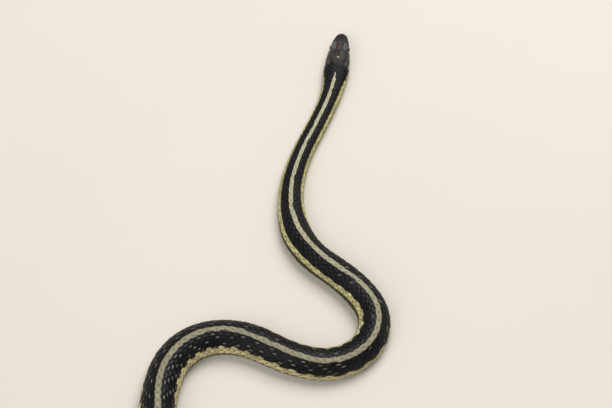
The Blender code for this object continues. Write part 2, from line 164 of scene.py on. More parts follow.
CHEEK_SHIELDS = {
    "front_nasal": ((1.13, 0.32), (2.37, 0.385), (2.37, 0.80), (1.13, 0.80)),
    "rear_nasal": ((2.49, 0.385), (3.79, 0.375), (3.91, 0.80), (2.49, 0.80)),
    "loreal": ((3.97, 0.40), (5.0, 0.50), (6.64, 0.43), (6.52, 0.81), (4.09, 0.81)),
    "preocular": ((6.81, 0.44), (8.29, 0.535), (8.77, 0.82), (6.7, 0.81)),
    "upper_postocular": ((12.32, 0.44), (13.39, 0.38), (14.22, 0.40), (14.34, 0.60), (12.56, 0.60)),
    "middle_postocular": ((12.56, 0.615), (14.34, 0.615), (14.34, 0.72), (12.44, 0.72)),
    "lower_postocular": ((12.3, 0.735), (14.3, 0.735), (14.3, 0.77), (12.0, 0.80)),
    "front_temporal": (
        (14.5, 0.41), (15.9, 0.44), (18.1, 0.43), (18.7, 0.62), (18.2, 0.70), (15.9, 0.745),
        (14.5, 0.768),
    ),
    "upper_temporal": ((18.4, 0.43), (20.9, 0.36), (22.4, 0.40), (22.3, 0.58), (19.0, 0.605)),
    "lower_temporal": ((19.0, 0.62), (22.3, 0.595), (22.9, 0.63), (22.0, 0.652), (18.5, 0.693)),
}
LIP_EDGES = (1.1, 3.4, 6.2, 9.1, 12.2, 15.8, 19.9, 23.7)
LIP_TOPS = (0.815, 0.82, 0.828, 0.83, 0.815, 0.76, 0.685, 0.665)
LOWER_LIP_EDGES = (1.2, 2.7, 4.7, 7.0, 9.4, 12.0, 15.0, 18.0, 21.0, 23.2)
LOWER_LIP_DEPTH = 1.21
LIP_SEAM = 0.005
CHIN_EDGE = 0.03
TIP_SHIELDS = {
    "rostral": ((-1, -0.1), (0.8, -0.1), (0.8, 0.98), (-1, 0.98)),
    "mental": ((-1, 1.02), (1.0, 1.02), (2.6, 2.1), (-1, 2.1)),
}
CHIN_SHIELDS = {
    "front_chin": ((3.56, 1.975), (4.03, 1.45), (6.64, 1.40), (9.72, 1.58), (9.95, 1.975)),
    "rear_chin": (
        (10.31, 1.95), (10.19, 1.60), (12.44, 1.48), (16.12, 1.62), (17.06, 1.80), (14.93, 1.90),
    ),
}

# How the shields are coloured: a tint to blue-grey, partly the brows' own colour and partly
# painted sheen, or to brown, the pale ones, those of the temples, which get painted sheen, and the
# step by which their tones differ. Then the pair of dots on the crown.
SHIELD_TINTS = {"supraocular": 1.0, "frontal": -1.0}
PALE_SHIELDS = ("lip", "chin", "mental")
FLANK_SHIELDS = ("temporal", "postocular")
GOLDEN_PART = 0.618
CROWN_DOT = (17.7, 0.30)
CROWN_DOT_RADIUS = 0.40
LEFT_DOT = 0.6

# How the shields are raised: the gap beside each, the rise of its edge and of its middle, and
# the widths of both in millimetres. Along the head they flatten out, end, and lose their colour.
SUTURE = 0.035
SHIELD_RISE = 0.08 * MM
SHIELD_CROWN = 0.09 * MM
SHIELD_EDGE = 0.18
SHIELD_CROWN_REACH = 1.2
SHIELDS_FLATTEN = (17.0, 22.0)
SHIELDS_FLATTENED = 0.7
SHIELDS_END = (22.6, 24.8)
HEAD_COLOURS_END = (22.0, 24.3)

# The nostril, a pit between the two nasal shields: distance from the snout and height.
NOSTRIL = (2.4 * MM, 4.0 * MM)
NOSTRIL_RADIUS = 0.36 * MM
NOSTRIL_DEPTH = 0.5 * MM
NOSTRIL_EDGE = (0.45, 1.05)

# The rows of scales. Row 1 lies beside the belly, is a little wider, and row 10 is on the middle
# of the back. A row that ends narrows to nothing where the body gets thinner. The length of a
# scale's step is its pitch, which is summed up at close marks along the body.
ROWS = 10
ROW_ENDS = {4: 335, 5: 548, 3: 572, 6: 596, 2: 622, 7: 648, 8: 674}
ROW_FADE = 9.0
ROW_NARROWEST = 0.35
FIRST_ROW_WEIGHT = 1.12
ROW_STARTS = (25.0, 24.0, 23.2, 22.4, 22.0, 22.0, 22.4, 23.0, 23.0, 23.4)
SCALE_PITCH = (
    (20, 2.3), (34, 2.8), (120, 3.5), (300, 4.05), (420, 4.05), (540, 3.4), (560, 3.2),
    (650, 2.3), (700, 1.3),
)
MARK_STEP = 0.25
LAST_SCALE_END = TAIL_END / MM - 0.3

# One scale of the back: half width by length, its height at the front and rear off the body's
# outer surface, how far its middle stands over its edges, its thickness and its keel. Then how
# much the scales differ in length, the weakest of their pale flecks, and the distances from the
# snout at which the scales are divided into pieces.
SCALE_OUTLINE = (
    (0.0, 0.50), (0.14, 0.76), (0.30, 0.94), (0.46, 1.0), (0.62, 0.92), (0.78, 0.70),
    (0.91, 0.38), (1.0, 0.10),
)
SCALE_SLOPE = (-0.42 * MM, 0.12 * MM)
SCALE_BULGE = 0.10 * MM
SCALE_THICKNESS = 0.13 * MM
SCALE_THINNING = 0.45
KEEL_WIDTH = 0.13
KEEL_STARTS = (0.2, 0.5)
SIZE_SPREAD = 0.03
FLECK_LOWEST = 0.35
SCALE_CUTS = (150.0, 280.0, 410.0)

# The scutes of the belly: their outline, slope and reach to each side in columns. Behind the
# vent they lie in pairs. Each is longer than the pitch by a share, so that it laps over the next.
VENT = 540
SCUTE_OUTLINE = ((0.0, 0.95), (0.25, 1.0), (0.55, 1.0), (0.85, 0.985), (1.0, 0.965))
SCUTE_SLOPE = (-0.38 * MM, 0.0)
SCUTE_REACH = 0.400
PAIR_OUT = 0.190
PAIR_REACH = 0.205
SCUTES_START = 28.0
SCUTE_LENGTH = 1.3

# The small scales of the throat, in rows this far apart, begin further forward at the sides
# than in the middle. Each starts ahead of its place.
THROAT_REACH = 0.29
THROAT_STEP = 0.066
THROAT_START = 17.4
THROAT_WINGS = 10.6
THROAT_WING_COLUMNS = (0.10, 0.27)
THROAT_PITCH = 1.8
THROAT_END = 29.5
THROAT_AHEAD = 1.2
THROAT_LENGTH = 2.6
THROAT_HALF = THROAT_STEP * 0.9

# The rows with pale flecks, and how common they are by distance from the snout.
FLECK_ROWS = (4, 5, 6, 7, 8)
FLECK_SHARE = ((100, 0.0), (160, 0.12), (230, 0.3), (280, 0.7), (340, 0.85), (520, 0.6), (640, 0.0))

# The markings. A change along the body is given by the two distances from the snout between
# which it takes place and by the values before and after it. Widths are in columns. The upper
# edge of the side stripes is the sum of its changes.
BACK_STRIPE_STARTS = (25, 27)
BACK_STRIPE_HALF = (24.5, 33, 0.0, 0.055)
BACK_STRIPE_ON_TAIL = (560, 690, 1.0, 1.35)
BACK_STRIPE_FADES = (50, 240)
SIDE_STRIPE_STARTS = (22, 27)
SIDE_STRIPE_UPPER = (
    (112, 132, 0.312, 0.352), (185, 215, 0.0, 0.018), (24, 38, 0.10, 0.0), (285, 305, 0.0, 0.015),
)
SIDE_STRIPE_LOWER = (140, 270, 0.48, 0.55)
SIDE_STRIPE_TEETH = (105, 200, 0.012, 0.043)
SIDE_STRIPE_FADES = (110, 280)
# Over these distances the lower part of the side stripes gets painted bounce light from the ground.
SIDE_STRIPE_BOUNCE_LIGHT = (120, 240)
STRIPE_WOBBLE = 0.022
STRIPE_RAGGED = 0.03
NOTCH_ABOVE = 0.92
NOTCH_DEPTH = 0.022
# Over these distances the row beside the belly turns dark, partly its own olive and partly painted
# shade.
LOWER_ROW_DARKENS = (100, 130)
BELLY_STARTS = (0.616, 0.632)
BELLY_SPOTS = (0.60, 0.675)
SNOUT_ENDS = (4.5, 7.0)
NAPE_DARKENS = (15, 24)

# The dash of a fleck on its scale, lengthwise and across, and how close the scale's fine lines
# are. Then how rough each finish is, how unevenly it is worn and how fine its grain is.
DASH_DOWN = (0.50, 0.80)
DASH_ACROSS = (0.15, 0.55)
SCALE_LINES = 26.0
SKIN_ROUGHNESS = 0.42
SCALE_ROUGHNESS = 0.38
SCUTE_ROUGHNESS = 0.40
GLOSS_WEAR = 0.16
SKIN_GRAIN = 1400.0
SCALE_GRAIN = 1700.0

# How fine the noise of each pattern is, in waves to a metre.
NOISE = {
    "stripes": 420, "ground": 90, "edges": 700, "head": 300, "brow": 420, "temple": 380,
    "lips": 300, "iris": 900, "floor": 6,
}

# The sheet that carries the scales over to the body: its span of columns and its facets.
GUIDE_START = 5 * MM
GUIDE_END = TAIL_END - TAIL_ROUND * 0.25
GUIDE_COLUMNS = (-0.85, 1.45)
GUIDE_RINGS = 1000
GUIDE_FACETS = 120
GUIDE_MARGIN = 0.0001

# The size of a scale's patch on the unwrap of the body, and the gap round that unwrap's strips.
PATCH = 0.003
FOLD_GAP = 0.005
FOLD_TURN_GAP = 0.02

PUPIL_RADIUS = 0.72 * MM

# The stage.
FLOOR_REACH = 2.0
WORLD_LIGHT = 0.42
LIGHTS = (
    ("key", (0.30, 0.70, 1.10), (0.0, 0.10, 0.0), 0.90, 13.0),
    ("fill", (-0.60, -0.55, 0.90), (0.0, 0.10, 0.0), 1.00, 5.0),
)
CAMERA_PLACE = (0.0205, -0.4509, 1.1478)
CAMERA_TILT = radians(28)
CAMERA_LENS = 147.06


def profile(points, place):
    """Read a smooth curve through (place, value) points, with level slopes at its two ends."""
    places, values = np.array(points, float).T
    runs = np.diff(places)
    rises = np.diff(values) / runs
    slopes = np.zeros(len(places))
    before, after = rises[:-1], rises[1:]
    product = before * after
    total = np.where(product > 0, before + after, 1.0)
    slopes[1:-1] = np.where(product > 0, 2 * product / total, 0.0)
    spot = np.clip(np.asarray(place, float), places[0], places[-1])
    at = np.clip(np.searchsorted(places, spot, side="right") - 1, 0, len(runs) - 1)
    t = (spot - places[at]) / runs[at]
    start = values[at] + slopes[at] * runs[at] * t
    end = values[at + 1] - slopes[at + 1] * runs[at] * (1 - t)
    ease = t * t * (3 - 2 * t)
    return start * (1 - ease) + end * ease


def smoothstep(low, high, value):
    t = np.clip((np.asarray(value, float) - low) / (high - low), 0, 1)
    return t * t * (3 - 2 * t)


def body_line():
    """Return the distances, x, y and headings along the middle of the body, from the snout."""
    steps = [round(length * MM / LINE_STEP) for length, turn in BENDS]
    bending = np.repeat([radians(turn) / (length * MM) for length, turn in BENDS], steps)
    window = round(EASE / LINE_STEP)
    weights = np.hanning(window + 2)[1:-1]
    padded = np.pad(bending, window, mode="edge")
    bending = np.convolve(padded, weights / weights.sum(), mode="same")[window:-window]
    headings = SNOUT_HEADING + np.r_[0, np.cumsum(bending) * LINE_STEP]
    between = (headings[1:] + headings[:-1]) / 2
    xs = SNOUT_AT[0] + np.r_[0, np.cumsum(np.cos(between)) * LINE_STEP]
    ys = SNOUT_AT[1] + np.r_[0, np.cumsum(np.sin(between)) * LINE_STEP]
    return np.arange(len(xs)) * LINE_STEP, xs, ys, headings


LINE = body_line()


def place_points(along, side, height):
    """Turn places on the body, with side to the animal's left, into points in the world."""
    x, y, heading = (np.interp(along, LINE[0], values) for values in LINE[1:])
    side = np.asarray(side)
    return np.stack([x + side * np.sin(heading), y - side * np.cos(heading), height + 0 * side], -1)


def end_rounding(along):
    """Return how much of its full size a section has, which falls to nothing at both tips."""
    nose = min(along / NOSE_ROUND, 1.0)
    tail = min((TAIL_END - along) / TAIL_ROUND, 1.0)
    return (1 - (1 - nose) ** 2) ** 0.5 * (1 - (1 - tail) ** 2) ** 0.5


def half_outline(along):
    """Return sides and heights round half a section, and the share walked to each of them."""
    mm = along / MM
    rounding = end_rounding(along)
    half_width = profile(WIDTH, mm) / 2 * MM * rounding
    height = profile(HEIGHT, mm) * MM
    widest = height * profile(WIDEST_PART, mm)
    rise = max(profile(CHIN_RISE, mm), 0.0) * MM
    top = (height - widest) * rounding
    floor = widest - (widest - rise) * rounding
    bottom = (widest - rise) * rounding + height * profile(PRESS_PART, mm)
    around = np.linspace(0, pi, OUTLINE_SAMPLES)
    upper = np.cos(around) > 0
    power = np.where(upper, 2 / profile(CROWN_POWER, mm), 2 / profile(BELLY_POWER, mm))
    sides = half_width * np.abs(np.sin(around)) ** power
    reach = np.where(upper, top, -bottom) * np.abs(np.cos(around)) ** power
    heights = np.maximum(widest + reach, floor)
    walked = np.r_[0, np.cumsum(np.hypot(np.diff(sides), np.diff(heights)))]
    return sides, heights, walked


def half_girth(along):
    return half_outline(along)[2][-1]


def column_at_side(along, side):
    """Return the column of the back that lies this far from the middle."""
    sides, _, walked = half_outline(along)
    back = len(sides) // 2 + 1
    return float(np.interp(side, sides[:back], walked[:back])) / walked[-1]


def column_at_height(along, height):
    _, heights, walked = half_outline(along)
    return float(np.interp(-height, -heights, walked)) / walked[-1]


def body_lean(along):
    """Return how far the columns are shifted where the body rolls over."""
    lean = profile(LEAN, along / MM)
    if lean == 0:
        return 0.0
    half_width = profile(WIDTH, along / MM) / 2 * MM
    shift = column_at_side(along, half_width * sin(radians(abs(lean))))
    return shift if lean > 0 else -shift


def body_grid(alongs, columns):
    """Return the points of the body's outer surface, one row of columns at each distance."""
    points = np.zeros(columns.shape + (3,))
    for i, along in enumerate(alongs):
        sides, heights, walked = half_outline(along)
        column = (columns[i] + body_lean(along) + 1) % 2 - 1
        share = np.abs(column) * walked[-1]
        side = np.interp(share, walked, sides) * np.sign(column)
        height = np.interp(share, walked, heights)
        points[i] = place_points(along, side, height)
    return points


def grid_normals(points, closed):
    """Return the outward normals of a grid of points, whose columns may close up in a ring."""
    down = np.gradient(points, axis=0)
    if closed:
        across = np.roll(points, -1, axis=1) - np.roll(points, 1, axis=1)
    else:
        across = np.gradient(points, axis=1)
    normals = np.cross(across, down)
    return normals / np.maximum(np.linalg.norm(normals, axis=-1, keepdims=True), 1e-12)


def mesh_from(name, points, faces):
    mesh = bpy.data.meshes.new(name)
    mesh.from_pydata([tuple(point) for point in points], [], [tuple(face) for face in faces])
    mesh.update()
    return mesh


def add_attribute(mesh, name, values, kind="FLOAT"):
    """Store one value at each vertex."""
    attribute = mesh.attributes.new(name, kind, "POINT")
    field = "value" if kind == "FLOAT" else "vector"
    attribute.data.foreach_set(field, np.asarray(values, np.float32).ravel())


def link(name, data):
    thing = bpy.data.objects.new(name, data)
    bpy.context.scene.collection.objects.link(thing)
    return thing


def finish_piece(thing, material, nodes=()):
    """Give a piece its material and its body, and let it stand for its nodes."""
    thing.data.materials.clear()
    thing.data.materials.append(material)
    thing.data.shade_smooth()
    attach(thing, "root")
    if nodes:
        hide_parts(*nodes)


def mouth_column(along):
    """Return the column of the mouth's line, carried on behind its corner to meet the body."""
    mm = along / MM
    at_mouth = min(column_at_height(along, profile(MOUTH, mm) * MM), LOWEST_MOUTH)
    level = UPPER_COLUMNS / (UPPER_COLUMNS + LOWER_COLUMNS)
    behind = smoothstep(MOUTH_LEVELS_OUT, HEAD_SKIN_END / MM, mm)
    return at_mouth * (1 - behind) + level * behind


def head_columns(along):
    """Return the columns and the shares round one ring of the head, left side then right."""
    middle = mouth_column(along)
    upper = np.arange(UPPER_COLUMNS) / UPPER_COLUMNS
    lower = np.arange(LOWER_COLUMNS + 1) / LOWER_COLUMNS
    left = np.r_[upper * middle, middle + lower * (1 - middle)]
    share = np.r_[upper, 1 + lower]
    return np.r_[left, -left[-2:0:-1]], np.r_[share, -share[-2:0:-1]]


def inside_distance(polygon, u, w):
    """Return how far inside a polygon each place lies, negative for those outside."""
    inside = np.zeros(u.shape, bool)
    nearest = np.full(u.shape, np.inf)
    corners = list(polygon)
    for (u0, w0), (u1, w1) in zip(corners, corners[1:] + corners[:1]):
        run = np.array([u1 - u0, w1 - w0])
        t = np.clip(((u - u0) * run[0] + (w - w0) * run[1]) / (run @ run), 0, 1)
        nearest = np.minimum(nearest, np.hypot(u - u0 - t * run[0], w - w0 - t * run[1]))
        crosses = (w0 > w) != (w1 > w)
        level = np.where(w1 == w0, 1.0, w1 - w0)
        inside ^= crosses & (u < u0 + (w - w0) * run[0] / level)
    return np.where(inside, nearest, -nearest)


def shield_polygons():
    """Return every shield as (name, corners), with each corner a distance and a share."""
    shields = []
    for name, corners in CROWN_SHIELDS.items():
        polygon = []
        for mm, out in corners:
            share = column_at_side(mm * MM, abs(out) * MM) / mouth_column(mm * MM)
            polygon.append((mm, share if out > 0 else -share))
        shields.append((name, polygon))
    shields += CHEEK_SHIELDS.items()
    lower_edges = [LOWER_LIP_DEPTH] * len(LOWER_LIP_EDGES)
    for name, places, far, near in (
        ("upper_lip", LIP_EDGES, LIP_TOPS, 1 - LIP_SEAM),
        ("lower_lip", LOWER_LIP_EDGES, lower_edges, 1 + LIP_SEAM),
    ):
        for i in range(len(places) - 1):
            front, rear = places[i], places[i + 1]
            corners = ((front, far[i]), (rear, far[i + 1]), (rear, near), (front, near))
            shields.append((f"{name}_{i}", corners))
    return shields + [*TIP_SHIELDS.items(), *CHIN_SHIELDS.items()]


def share_to_arc(along_mm, share, table):
    """Turn shares into millimetres walked from the middle of the crown."""
    upper = np.interp(along_mm, table[0], table[1])
    whole = np.interp(along_mm, table[0], table[2])
    share = np.asarray(share)
    below = upper + (np.abs(share) - 1) * (whole - upper)
    arc = np.where(np.abs(share) <= 1, np.abs(share) * upper, below)
    return arc * np.sign(share)


def girth_table():
    places = np.linspace(0.05, HEAD_SKIN_END / MM, 97)
    upper, whole = [], []
    for mm in places:
        girth = half_girth(mm * MM) / MM
        upper.append(mouth_column(mm * MM) * girth)
        whole.append(girth)
    return places, np.array(upper), np.array(whole)


def shield_relief(along_mm, shares):
    """Return the rise of the shields and the marks by which the skin is coloured."""
    table = girth_table()
    arc = np.abs(share_to_arc(along_mm, shares, table))
    depth = np.full(arc.shape, -1.0)
    marks = {key: np.zeros(arc.shape) for key in ("tone", "pale", "tint", "flank")}
    for index, (name, corners) in enumerate(shield_polygons()):
        polygon = [(mm, float(share_to_arc(mm, share, table))) for mm, share in corners]
        low, high = min(p[0] for p in polygon), max(p[0] for p in polygon)
        near = (along_mm > low - 1) & (along_mm < high + 1)
        found = np.full(arc.shape, -np.inf)
        found[near] = inside_distance(polygon, along_mm[near], arc[near]) - SUTURE
        closer = found > depth
        depth[closer] = found[closer]
        values = {
            "tone": (index * GOLDEN_PART) % 1,
            "pale": any(word in name for word in PALE_SHIELDS),
            "tint": SHIELD_TINTS.get(name, 0.0),
            "flank": any(word in name for word in FLANK_SHIELDS),
        }
        for key, value in values.items():
            marks[key][closer] = value
    marks["pale"][np.abs(shares) > 1] = 1.0
    below, beyond = LOWER_LIP_DEPTH - CHIN_EDGE, LOWER_LIP_DEPTH + CHIN_EDGE
    marks["chin"] = smoothstep(below, beyond, np.abs(shares))
    marks["depth"] = depth
    rise = SHIELD_RISE * smoothstep(0, SHIELD_EDGE, depth)
    return rise + SHIELD_CROWN * smoothstep(0, SHIELD_CROWN_REACH, depth), marks


def eye_axes(hand):
    """Return the middle of an eye and the direction in which it looks."""
    centre = place_points(EYE_BACK, hand * EYE_OUT, EYE_HEIGHT)
    outward = place_points(EYE_BACK, hand * (EYE_OUT + 1.0), EYE_HEIGHT) - centre
    return centre, outward / np.linalg.norm(outward)


def set_eyes_in(points, props):
    """Sink the skin behind each eye and lift or lower it to a rim that lies against the ball."""
    rim = props.eye_opening
    for hand in (1, -1):
        centre, outward = eye_axes(hand)
        offset = points - centre
        out = offset @ outward
        distance = np.linalg.norm(offset - out[..., None] * outward, axis=-1)
        ball = np.sqrt(np.maximum(EYE_RADIUS ** 2 - np.minimum(distance, rim) ** 2, 0))
        near, far = (rim * part for part in EYE_RIM_BLEND)
        blend = (1 - smoothstep(near, far, distance)) * (out > 0)
        lifted = out + (ball + props.eye_rim_rise - out) * blend
        inner = (1 - smoothstep(rim * EYE_RIM_INSIDE, rim, distance)) * (out > 0)
        target = lifted * (1 - inner) + (ball - EYE_SOCKET_GAP) * inner
        points += (target - out)[..., None] * outward
    return points


def head_relief(points, normals, along_mm, shares, props):
    """Raise the shields and sink the mouth and nostrils. Return the points and the marks."""
    rise, marks = shield_relief(along_mm, shares)
    behind = 1 - smoothstep(*SHIELDS_END, along_mm)
    lift = rise * behind * (1 - SHIELDS_FLATTENED * smoothstep(*SHIELDS_FLATTEN, along_mm))
    lift = lift * (1 - marks["chin"] * smoothstep(*THROAT_SINKS, along_mm))
    from_mouth = (points[..., 2] - profile(MOUTH, along_mm) * MM) / MM
    open_part = 1 - smoothstep(*MOUTH_ENDS, along_mm)
    groove = np.exp(-(from_mouth / props.mouth_width) ** 2) * open_part
    lips = np.exp(-((np.abs(from_mouth) - LIP_MIDDLE) / LIP_WIDTH) ** 2) * open_part
    lips = lips * smoothstep(*LIPS_START, along_mm)
    lift = lift + lips * props.lip_swell - groove * props.mouth_depth
    pit_column = np.array([column_at_height(*NOSTRIL)])
    for hand in (1, -1):
        pit = body_grid([NOSTRIL[0]], pit_column[None] * hand)[0, 0]
        reach = np.linalg.norm(points - pit, axis=-1) / NOSTRIL_RADIUS
        lift = lift - NOSTRIL_DEPTH * (1 - smoothstep(*NOSTRIL_EDGE, reach))
    points = set_eyes_in(points + normals * lift[..., None], props)
    points[..., 2] = np.maximum(points[..., 2], 0)
    marks["pale"] = marks["pale"] * behind
    marks["groove"] = groove
    return points, marks


def skin_rings():
    """Return the distances of the head's rings and of the body's."""
    nose = NOSE_ROUND * (1 - np.cos(pi / 2 * np.arange(1, NOSE_RINGS) / NOSE_RINGS))
    count = round((HEAD_SKIN_END - NOSE_ROUND) / HEAD_RING)
    head = np.r_[nose, np.linspace(NOSE_ROUND, HEAD_SKIN_END, count)]
    count = round((TAIL_END - TAIL_ROUND - HEAD_SKIN_END) / BODY_RING)
    body = np.linspace(HEAD_SKIN_END, TAIL_END - TAIL_ROUND, count + 1)[1:]
    tip = TAIL_END - TAIL_ROUND * (1 - np.sin(pi / 2 * np.arange(1, TAIL_RINGS) / TAIL_RINGS))
    return head, np.r_[body, tip]


def ring_faces(first, second, count):
    """Face the band between two rings of the same count, given their first vertices."""
    return [
        (first + (j + 1) % count, first + j, second + j, second + (j + 1) % count)
        for j in range(count)
    ]


def grid_faces(rows, count, faced):
    """Face a grid of vertices, with so many faces between two rows.

    The rows are rings if these are as many as the vertices of a row.
    """
    faces = []
    for start in range(0, (rows - 1) * count, count):
        for j in range(faced):
            near, far = start + j, start + (j + 1) % count
            faces.append((near, near + count, far + count, far))
    return faces


def coarser_faces(first, second, fine, coarse):
    """Face the band between a fine ring and a coarser one behind it."""
    ratio = fine // coarse
    faces = []
    for j in range(coarse):
        start = j * ratio
        half = start + ratio // 2
        here, there = second + j, second + (j + 1) % coarse
        for k in range(start, half):
            faces.append((first + (k + 1) % fine, first + k, here))
        faces.append((first + half % fine, here, there))
        for k in range(half, start + ratio):
            faces.append((first + (k + 1) % fine, first + k, there))
    return faces


def make_skin(props):
    """Make the one closed skin, from the tip of the snout to the tip of the tail."""
    head, body = skin_rings()
    columns, shares = np.array([head_columns(along) for along in head]).swapaxes(0, 1)
    head_points = body_grid(head, columns)
    normals = grid_normals(head_points, True)
    along_mm = np.repeat(head[:, None] / MM, columns.shape[1], axis=1)
    throat = smoothstep(*THROAT_SINKS, along_mm) * smoothstep(*THROAT_SHARES, np.abs(shares))
    sink = COAT * np.maximum(smoothstep(*COAT_STARTS, along_mm), throat)
    head_points = head_points - normals * sink[..., None]
    head_points, marks = head_relief(head_points, normals, along_mm, shares, props)
    marks["head"] = 1 - smoothstep(*HEAD_COLOURS_END, along_mm)
    marks["dot"] = crown_dots(along_mm, columns)

    body_columns = np.tile(np.linspace(0, 2, BODY_COLUMNS, endpoint=False), (len(body), 1))
    body_columns = (body_columns + 1) % 2 - 1
    body_points = body_grid(body, body_columns)
    from_middle = body_points - body_points.mean(axis=1, keepdims=True)
    room = np.linalg.norm(from_middle, axis=-1, keepdims=True)
    sink = np.minimum(COAT, room * COAT_LIMIT)
    body_points = body_points - grid_normals(body_points, True) * sink

    fine, coarse = columns.shape[1], BODY_COLUMNS
    ends = (0.0, TAIL_END)
    heights = [profile(HEIGHT, end / MM) * profile(WIDEST_PART, end / MM) * MM for end in ends]
    snout, tail = (place_points(end, 0.0, height) for end, height in zip(ends, heights))
    points = np.concatenate([
        snout[None], head_points.reshape(-1, 3), body_points.reshape(-1, 3), tail[None],
    ])
    faces = [(0, 1 + j, 1 + (j + 1) % fine) for j in range(fine)]
    for i in range(len(head) - 1):
        faces += ring_faces(1 + i * fine, 1 + (i + 1) * fine, fine)
    start = 1 + len(head) * fine
    faces += coarser_faces(start - fine, start, fine, coarse)
    for i in range(len(body) - 1):
        faces += ring_faces(start + i * coarse, start + (i + 1) * coarse, coarse)
    end = len(points) - 1
    faces += [(end, end - coarse + (j + 1) % coarse, end - coarse + j) for j in range(coarse)]
    mesh = mesh_from("skin", points, faces)

    def whole(first, head_values, body_value, last):
        body_values = np.broadcast_to(body_value, body_columns.shape).ravel()
        return np.r_[first, head_values.ravel(), body_values, last]

    along_all = whole(0, along_mm, (body[:, None] / MM) + 0 * body_columns, TAIL_END / MM)
    add_attribute(mesh, "along", along_all)
    add_attribute(mesh, "around", whole(0, columns, body_columns, 0))
    add_attribute(mesh, "count", scale_count(along_all))
    for key, values in marks.items():
        add_attribute(mesh, key, whole(values[0, 0], values, 0.0, 0))
    return mesh


def crown_dots(along_mm, columns):
    """Mark the pair of small pale dots beside the middle of the crown, the right one brighter."""
    girths = np.array([half_girth(mm * MM) / MM for mm in along_mm[:, 0]])
    out = np.abs(columns) * girths[:, None]
    reach = np.hypot(along_mm - CROWN_DOT[0], out - CROWN_DOT[1]) / CROWN_DOT_RADIUS
    return (1 - smoothstep(0.6, 1.1, reach)) * np.where(columns < 0, 1.0, LEFT_DOT)


def row_weights(mm):
    """Return how much of its full width each row has at these places, for rows 1 to 10."""
    weights = np.ones((ROWS + 1, len(mm)))
    for row, end in ROW_ENDS.items():
        weights[row] = 1 - smoothstep(end - ROW_FADE, end + ROW_FADE, mm)
    weights[1] = FIRST_ROW_WEIGHT
    return weights


def row_layout(mm):
    """Return the columns of the middles of the rows, their widths and their phases."""
    weights = row_weights(mm)
    total = 0.5 * weights[ROWS] + weights[1:ROWS].sum(axis=0)
    widths = weights / total * BELLY_EDGE
    centres = np.zeros_like(widths)
    phases = np.zeros_like(widths)
    for row in range(ROWS - 1, 0, -1):
        centres[row] = centres[row + 1] + (widths[row + 1] + widths[row]) / 2
        phases[row] = phases[row + 1] + 0.5 * weights[row + 1]
    return centres, widths, phases


MARKS = np.arange(0, TAIL_END / MM + MARK_STEP, MARK_STEP)


def scale_count(mm):
    """Return how many scales of one row lie before a place, as a number that grows smoothly."""
    pitches = profile(SCALE_PITCH, MARKS)
    counts = np.r_[0, np.cumsum(MARK_STEP / ((pitches[1:] + pitches[:-1]) / 2))]
    return np.interp(mm, MARKS, counts)


def fold(along_mm, around):
    """Return the place of a root on the unwrap of the body, a strip folded into four."""
    quarter = TAIL_END / MM / 4
    strip = np.minimum(np.floor(along_mm / quarter), 3)
    u = FOLD_GAP + (1 - 2 * FOLD_GAP) * (along_mm / quarter - strip)
    turn = ((around + 1) % 2) / 2
    return u, (strip + FOLD_TURN_GAP + (1 - 2 * FOLD_TURN_GAP) * turn) / 4


def back_layout(props):
    """Return the places of all scales on the back and sides as a dictionary of columns."""
    draw = np.random.default_rng(11)
    centres, widths, phases = row_layout(MARKS)
    counts = scale_count(MARKS)
    kept = []
    for row in range(1, ROWS + 1):
        numbering = counts + phases[row]
        first = np.ceil(np.interp(ROW_STARTS[row - 1], MARKS, numbering))
        numbers = np.arange(first, np.floor(numbering[-1]))
        places = np.interp(numbers, numbering, MARKS)
        weights = row_weights(MARKS)[row]
        width, centre, phase, weight = (
            np.interp(places, MARKS, values)
            for values in (widths[row], centres[row], phases[row], weights)
        )
        lengths = profile(SCALE_PITCH, places) * props.scale_length
        whole = (weight > ROW_NARROWEST) & (places + lengths / 2 < LAST_SCALE_END)
        for hand in (1, -1) if row < ROWS else (1,):
            for i in np.flatnonzero(whole):
                size = 1 + SIZE_SPREAD * draw.standard_normal()
                common = float(profile(FLECK_SHARE, places[i]))
                here = row in FLECK_ROWS and (np.floor(numbers[i] - phase[i]) + row // 2) % 2 == 0
                fleck = float(here and draw.random() < common) * draw.uniform(FLECK_LOWEST, 1.0)
                kept.append((
                    places[i] - lengths[i] / 2, centre[i] * hand, lengths[i] * size,
                    width[i] * props.scale_width / 2, draw.random(), fleck,
                ))
    return layout_columns(kept)


def layout_columns(kept):
    names = ("front", "around", "length", "half_width", "tone", "fleck")
    return dict(zip(names, np.array(kept, float).T))


def belly_layout():
    """Return the places of the belly scutes and the pairs under the tail."""
    draw = np.random.default_rng(12)
    counts = scale_count(MARKS)
    kept = []
    numbers = np.arange(np.ceil(np.interp(SCUTES_START, MARKS, counts)), np.floor(counts[-1]))
    for place in np.interp(numbers, counts, MARKS):
        pitch = float(profile(SCALE_PITCH, place))
        length = pitch * SCUTE_LENGTH
        if place + length / 2 > LAST_SCALE_END:
            continue
        front = place - length / 2
        if place < VENT:
            kept.append((front, 1.0, length, SCUTE_REACH, draw.random(), 0))
            continue
        for hand in (1, -1):
            around = 1 - hand * PAIR_OUT
            kept.append((front + hand * pitch / 4, around, length, PAIR_REACH, draw.random(), 0))
    return layout_columns(kept)


def throat_layout():
    """Return the places of the small scales between the chin and the first scute."""
    draw = np.random.default_rng(13)
    kept = []
    for i, out in enumerate(np.arange(0.0, THROAT_REACH, THROAT_STEP)):
        start = THROAT_START - THROAT_WINGS * smoothstep(*THROAT_WING_COLUMNS, out)
        for place in np.arange(start + THROAT_PITCH / 2 * (i % 2), THROAT_END, THROAT_PITCH):
            for hand in (1, -1) if i else (1,):
                front, around = place - THROAT_AHEAD, 1 - out * hand
                kept.append((front, around, THROAT_LENGTH, THROAT_HALF, draw.random(), 0))
    return layout_columns(kept)


